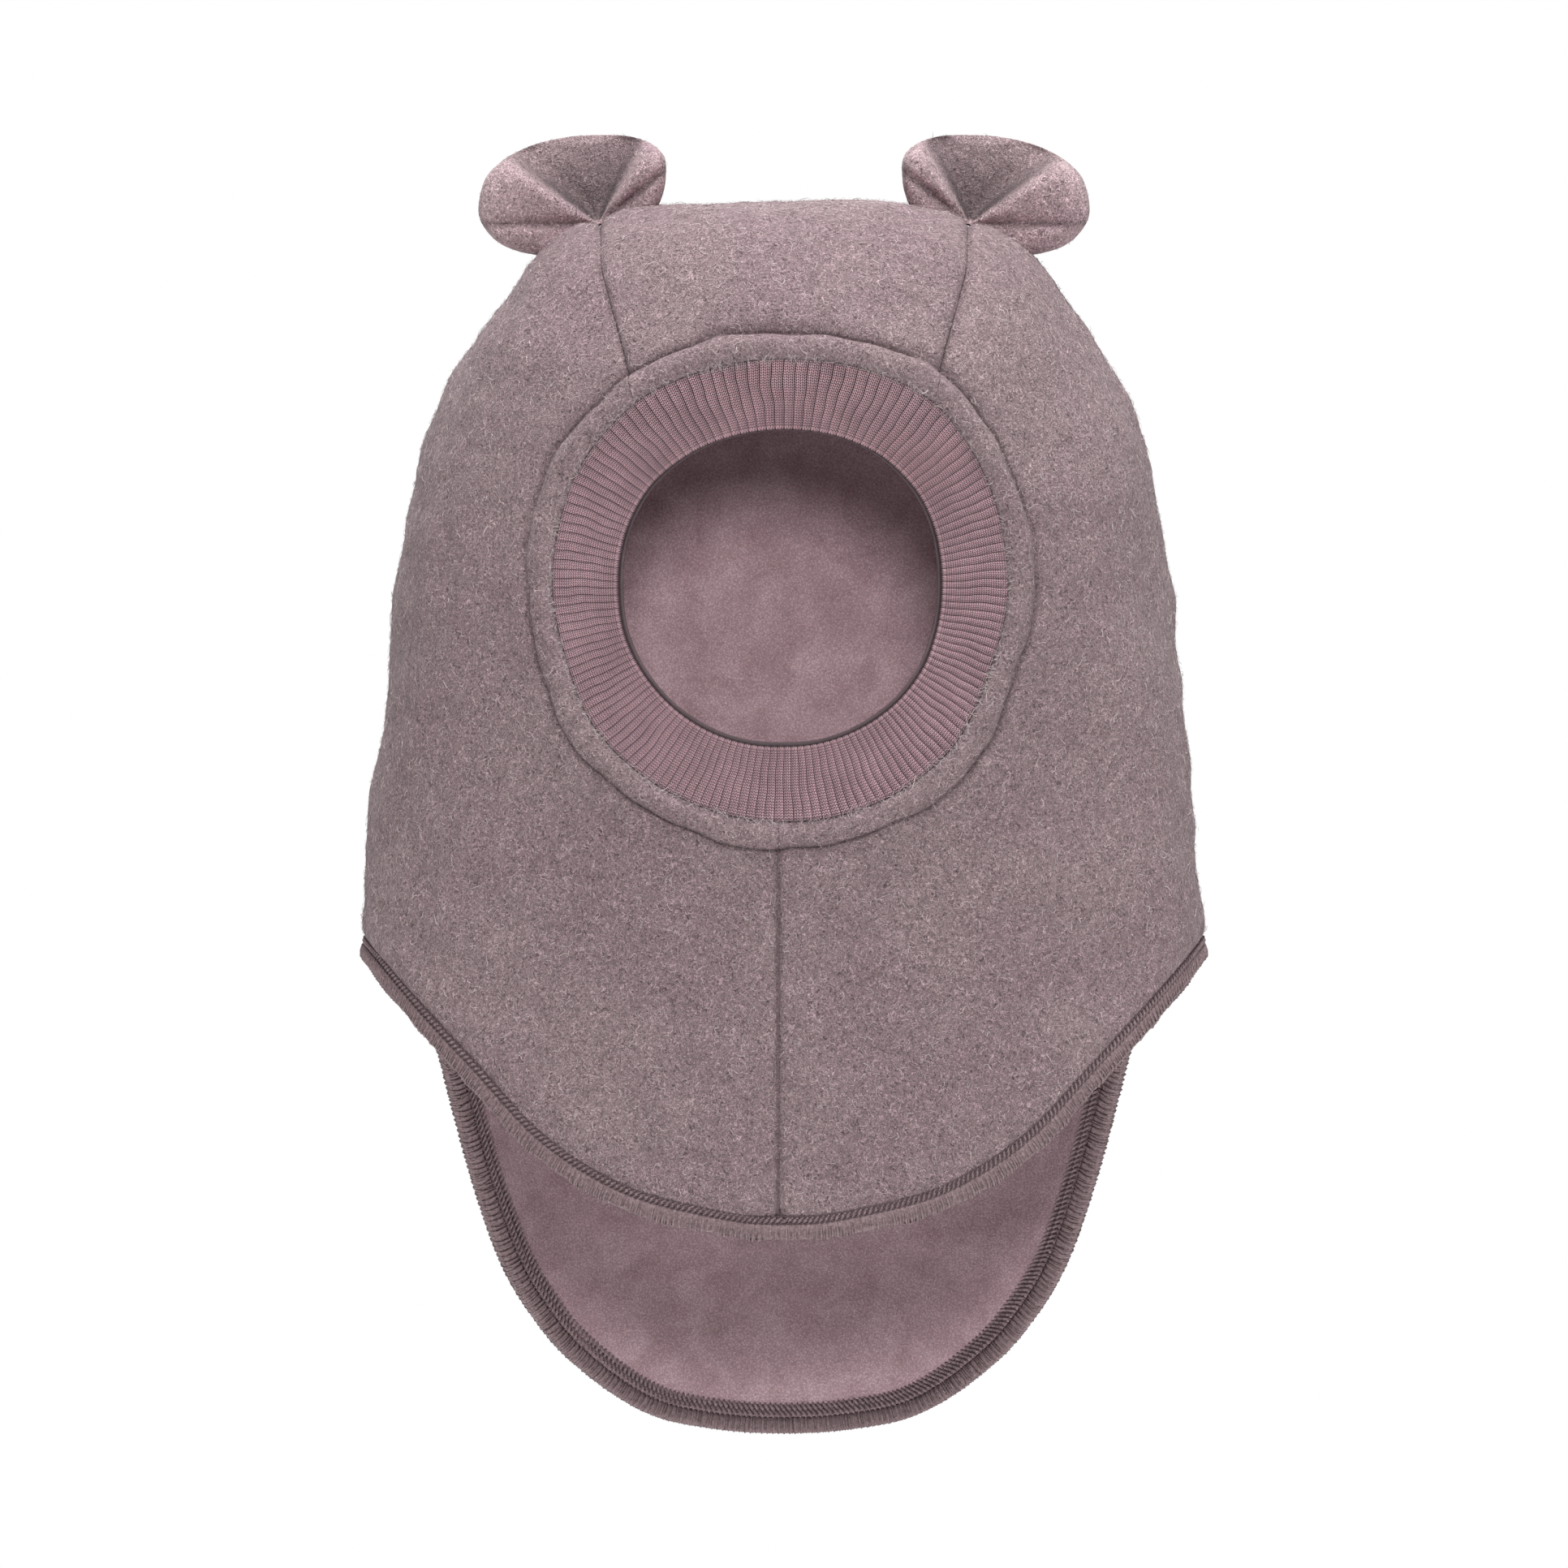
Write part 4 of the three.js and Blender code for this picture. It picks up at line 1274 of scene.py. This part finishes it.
    def make_rows(self, stitches):
        """Rows of plump slanted stitches on both faces, and the thin needle lines beside the outer row, real thread
        painted dark for the shade of their groove.
        """
        radius = sizes().thread_width / MM / 2
        slanted = [(row, 1, 0.45) for row in self.outer_stitches]
        slanted += [(row, -1, 0) for row in self.inner_stitches]
        paths = [
            self.row_path(stitches, *place_of, (0, 0.28, 0.56, 0.78), (-1, 0, 1, 0), (0.1, 0.3, 0.1, -0.5))
            for place_of in slanted
        ]
        points, quads, uvs = tubes(np.stack(paths), radius * 1.9, 4, closed=True)
        mesh = array_mesh("hem_stitches", points, quads, uvs)
        finish_mesh(mesh, "hem_stitches", shared_material("twisted_thread", thread_material), "overlock_thread")
        paths = [
            self.row_path(stitches, at, 1, 0.35, (0, 0.3, 0.62, 0.82), (0.1, -0.1, 0.1, 0), (0.1, 0.3, 0.1, -0.3))
            for at in self.needle_lines
        ]
        points, quads, uvs = tubes(np.stack(paths), radius * 0.75, 3, closed=True)
        mesh = array_mesh("hem_needle_lines", points, quads, uvs)
        finish_mesh(mesh, "hem_needle_lines", shared_material("painted_stitch_shade", stitch_shade_material), "overlock_thread")

    def row_path(self, stitches, row, face, depth, ahead, swing, lift):
        """A row of stitches round the hem, from four points a stitch: how far ahead, across and up each lies."""
        starts = even_hem(stitches)
        bearing = (starts[:, None] + np.array(ahead) * 2 * math.pi / stitches).ravel()
        point, out, up = hem_frame(bearing)
        base = point if face > 0 else point - out * WALL
        height = row + self.half_row * np.tile(swing, stitches)
        stand = face * (np.tile(lift, stitches) - depth)
        return base + up * height[:, None] + out * stand[:, None]


def front_edge(places, normals):
    return (from_hem(places) < 2.2) * (places[:, 1] < 0) * 1.0


class CuppedEars(bpy.types.Operator):
    """Make the two cupped ears that stand in the crown seams"""

    bl_idname = "hat.cupped_ears"
    bl_label = "Cupped ears"

    spokes = 180
    rings = 20

    def execute(self, context):
        wool = shared_material("brushed_wool", wool_material)
        for side, name in ((1, "ear_left"), (-1, "ear_right")):
            bm = bmesh.new()
            verts, across, down = grid(bm, self.spokes, 2 * self.rings)
            spread = np.abs(2 * down - 1)
            share = 1 - spread**1.35
            places = self.ear_points(360 * across % 360 - 180, share, down < 0.5)
            places[:, 0] *= side
            move_to(verts, places)
            bmesh.ops.remove_doubles(bm, verts=bm.verts[:], dist=0.01)
            face_outwards(bm)
            ear = finish_piece(bm, name + "_fleece", wool, "wool_fleece", name)
            set_tone_and_painted_shade(ear, ear_painted_shade)
            add_fibres(name + "_fibres", ear, 40 + side, above_crown, 0.8, 0.48, 0.6, from_pinch)
        return {"FINISHED"}

    def ear_points(self, bearing, share, in_front):
        """Points of the ear on the wearer's left, in front or behind, by ray and share of the way out."""
        angle = np.radians(bearing)
        fullness = np.sqrt(np.maximum(1 - share**8, 0))
        stand = EAR.at("front", bearing) * share**0.7
        for middle, width, rise in EAR_FOLDS:
            away = ((bearing - middle + 180) % 360 - 180) * share
            stand = stand + rise * np.exp(-((away / width) ** 2)) * np.clip(share * 3, 0, 1)
        cup = np.minimum(EAR.at("front", bearing), 0) * share**0.7
        stand = np.where(in_front, (stand - cup) * fullness, 0) + cup
        gathers = 0.025 * np.sin(11 * angle) * np.exp(-((share - 0.15) ** 2) / 0.02) * np.clip(share * 8, 0, 1)
        back = -(EAR_PINCH + (EAR.at("back", bearing) - EAR_PINCH) * share) * fullness
        forward = EAR_DEPTH * (EAR.at("rim", bearing) * share + stand + np.where(in_front, gathers, back))
        reach = EAR_SPAN * EAR.at("reach", bearing) * share
        top = crown_height(SEAM_HALF_WIDTH, 0.0)
        places = points_of(
            SEAM_HALF_WIDTH + reach * np.sin(angle), EAR_BACK - forward, top - EAR_SINK + reach * np.cos(angle)
        )
        places[:, 2] = np.maximum(places[:, 2], crown_height(places[:, 0], places[:, 1]) - 1)
        return places


def ear_painted_shade(points):
    """Painted shade on an ear: darker in its creases and deep in the cup, where shade falls, and painted paler than
    the panels elsewhere, a painted highlight.
    """
    foot = (SEAM_HALF_WIDTH, crown_height(SEAM_HALF_WIDTH, 0.0) - EAR_SINK)
    away, up = np.abs(points[:, 0]) - foot[0], points[:, 2] - foot[1]
    bearing = np.degrees(np.arctan2(away, up))
    distance = np.hypot(away, up) / EAR_SPAN
    # A painted highlight: the ear starts paler than the panels.
    tone = np.full(len(points), 1.55)
    for middle, width, depth in EAR_PAINTED_SHADE_LINES:
        off = ((bearing - middle + 180) % 360 - 180) * np.clip(distance, 0.2, 1)
        tone = tone - depth * np.exp(-((off / width) ** 2))
    # Painted shade deep in the cup, darkest near the pinch.
    painted_cup_shade_mask = 1 / (1 + np.exp(-(bearing + 27) / 1.5)) / (1 + np.exp((bearing - 54) / 1.5))
    cup = painted_cup_shade_mask * (0.72 * np.exp(-((distance / 0.7) ** 3)) + 0.38)
    return np.where(points[:, 1] < EAR_BACK + EAR_DEPTH, np.clip(tone - cup, 0.3, None), 1.2)


def crown_height(x, y):
    """Height of the hood's outside straight above or below a point."""
    low, high = np.zeros(np.shape(x)), np.full(np.shape(x), 120.0)
    for _ in range(26):
        middle = (low + high) / 2
        beyond = fill_at(x, y, WALL - middle) > 1
        low, high = np.where(beyond, middle, low), np.where(beyond, high, middle)
    return WALL - low


def from_pinch(points):
    """The way from the foot of the nearer ear, along which its fibres tend to lie."""
    foot = np.stack([SEAM_HALF_WIDTH * np.sign(points[:, 0]), points[:, 1], np.full(len(points), 2.0)], axis=1)
    return 0.8 * unit(points - foot)


def above_crown(places, normals):
    return (places[:, 2] > crown_height(places[:, 0], places[:, 1]) + 0.5).astype(float)


class WoolFibres(bpy.types.Operator):
    """Lay loose curly fibres over the fleece panels"""

    bl_idname = "hat.wool_fibres"
    bl_label = "Wool fibres"

    def execute(self, context):
        for seed, name in enumerate(("crown_panel", "side_panel_left", "side_panel_right")):
            source = bpy.data.objects[name + "_fleece"]
            add_fibres(name + "_fibres", source, 30 + seed, on_fleece, comb=towards_opening)
        return {"FINISHED"}


class Stage(bpy.types.Operator):
    """Make the pale floor, the soft studio light and the camera"""

    bl_idname = "hat.stage"
    bl_label = "Stage"

    def execute(self, context):
        self.make_floor()
        self.make_world(context.scene)
        self.make_lights()
        self.make_camera(context.scene)
        return {"FINISHED"}

    def make_floor(self):
        bm = bmesh.new()
        bmesh.ops.create_circle(bm, cap_ends=True, segments=96, radius=FLOOR_RADIUS)
        bmesh.ops.translate(bm, vec=(0, 0, FLOOR_HEIGHT), verts=bm.verts[:])
        mesh = bpy.data.meshes.new("floor")
        bm.to_mesh(mesh)
        bm.free()
        floor = bpy.data.objects.new("floor", mesh)
        bpy.context.scene.collection.objects.link(floor)
        material, _, shader = new_material("pale_floor", 1.0, 0.0)
        shader.inputs["Base Color"].default_value = (*colours().backdrop, 1)
        shader.inputs["Specular IOR Level"].default_value = 0
        mesh.materials.append(material)

    def make_world(self, scene):
        world = bpy.data.worlds.new("studio")
        world.use_nodes = True
        tree = world.node_tree
        seen = add_node(tree, "ShaderNodeLightPath").outputs["Is Camera Ray"]
        strength = add_node(tree, "ShaderNodeMapRange", {"Value": seen, "To Min": AMBIENT, "To Max": BACKDROP})
        background = tree.nodes["Background"]
        background.inputs["Color"].default_value = (1, 1, 1, 1)
        tree.links.new(strength.outputs["Result"], background.inputs["Strength"])
        scene.world = world
        scene.view_settings.view_transform = "Standard"

    def make_lights(self):
        """Round soft boxes. One of them lights the lining alone, through the face opening."""
        for name, place_at, size, share in SOFTBOXES:
            data = bpy.data.lights.new(name, "AREA")
            data.shape = "DISK"
            data.size = size
            lamp = bpy.data.objects.new(name, data)
            lamp.location = place_at
            aim = Vector((0, 0, -0.12)) - lamp.location
            lamp.rotation_euler = aim.to_track_quat("-Z", "Y").to_euler()
            data.energy = share * (math.pi * aim.length) ** 2
            bpy.context.scene.collection.objects.link(lamp)
        lit = bpy.data.collections.new("lining_only")
        lit.objects.link(bpy.data.objects["lining_jersey_layer"])
        bpy.data.objects["lining_light"].light_linking.receiver_collection = lit

    def make_camera(self, scene):
        data = bpy.data.cameras.new("camera")
        data.sensor_width = 36
        data.lens = data.sensor_width * CAMERA_DISTANCE / FRAME_WIDTH
        data.clip_end = 100
        camera = bpy.data.objects.new("camera", data)
        camera.location = (0, -CAMERA_DISTANCE, FRAME_MIDDLE)
        camera.rotation_euler = (math.pi / 2, 0, 0)
        scene.collection.objects.link(camera)
        scene.camera = camera


# The stage, in metres, with the light's strength on a white card as a share of white.
FLOOR_HEIGHT = -0.5
FLOOR_RADIUS = 3.3
CAMERA_DISTANCE = 12.0
FRAME_WIDTH = 0.3864
FRAME_MIDDLE = (WALL - 143.6) * MM
AMBIENT = 0.12
BACKDROP = 1.0
SOFTBOXES = (
    ("front_light", (0.1, -1.8, 1.4), 1.0, 0.39),
    ("low_light", (0.15, -2.6, 0.34), 0.5, 0.05),
    ("top_light", (0.1, -0.1, 1.9), 1.2, 1.2),
    ("left_light", (-2.2, -0.6, 0.3), 1.0, 0.06),
    ("right_light", (2.2, -0.6, 0.3), 1.0, 0.1),
    ("back_light", (-0.3, 2.2, 0.9), 1.2, 0.45),
    ("lining_light", (0.06, -2.4, 0.27), 0.35, 0.85),
)


class HatPanel(bpy.types.Panel):
    """The hat's sizes, colours and pieces"""

    bl_idname = "VIEW3D_PT_baby_hat"
    bl_label = "Baby hat"
    bl_space_type = "VIEW_3D"
    bl_region_type = "UI"
    bl_category = "Hat"

    def draw(self, context):
        for group in (context.scene.hat_sizes, context.scene.hat_colours):
            column = self.layout.column()
            for name in group.bl_rna.properties.keys():
                if name not in ("rna_type", "name"):
                    column.prop(group, name)
        for operator in OPERATORS:
            self.layout.operator(operator.bl_idname)


OPERATORS = (FleecePanels, InnerLining, FaceCuff, OverlockedHem, CuppedEars, WoolFibres, Stage)
CLASSES = (HatSizes, HatColours, *OPERATORS, HatPanel)


def register():
    for item in CLASSES:
        bpy.utils.register_class(item)
    bpy.types.Scene.hat_sizes = bpy.props.PointerProperty(type=HatSizes)
    bpy.types.Scene.hat_colours = bpy.props.PointerProperty(type=HatColours)


def unregister():
    del bpy.types.Scene.hat_colours
    del bpy.types.Scene.hat_sizes
    for item in reversed(CLASSES):
        bpy.utils.unregister_class(item)


def main():
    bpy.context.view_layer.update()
    register()
    bpy.ops.hat.fleece_panels()
    bpy.ops.hat.inner_lining()
    bpy.ops.hat.face_cuff()
    bpy.ops.hat.overlocked_hem()
    bpy.ops.hat.cupped_ears()
    bpy.ops.hat.wool_fibres()
    bpy.ops.hat.stage()


if __name__ == "__main__":
    main()
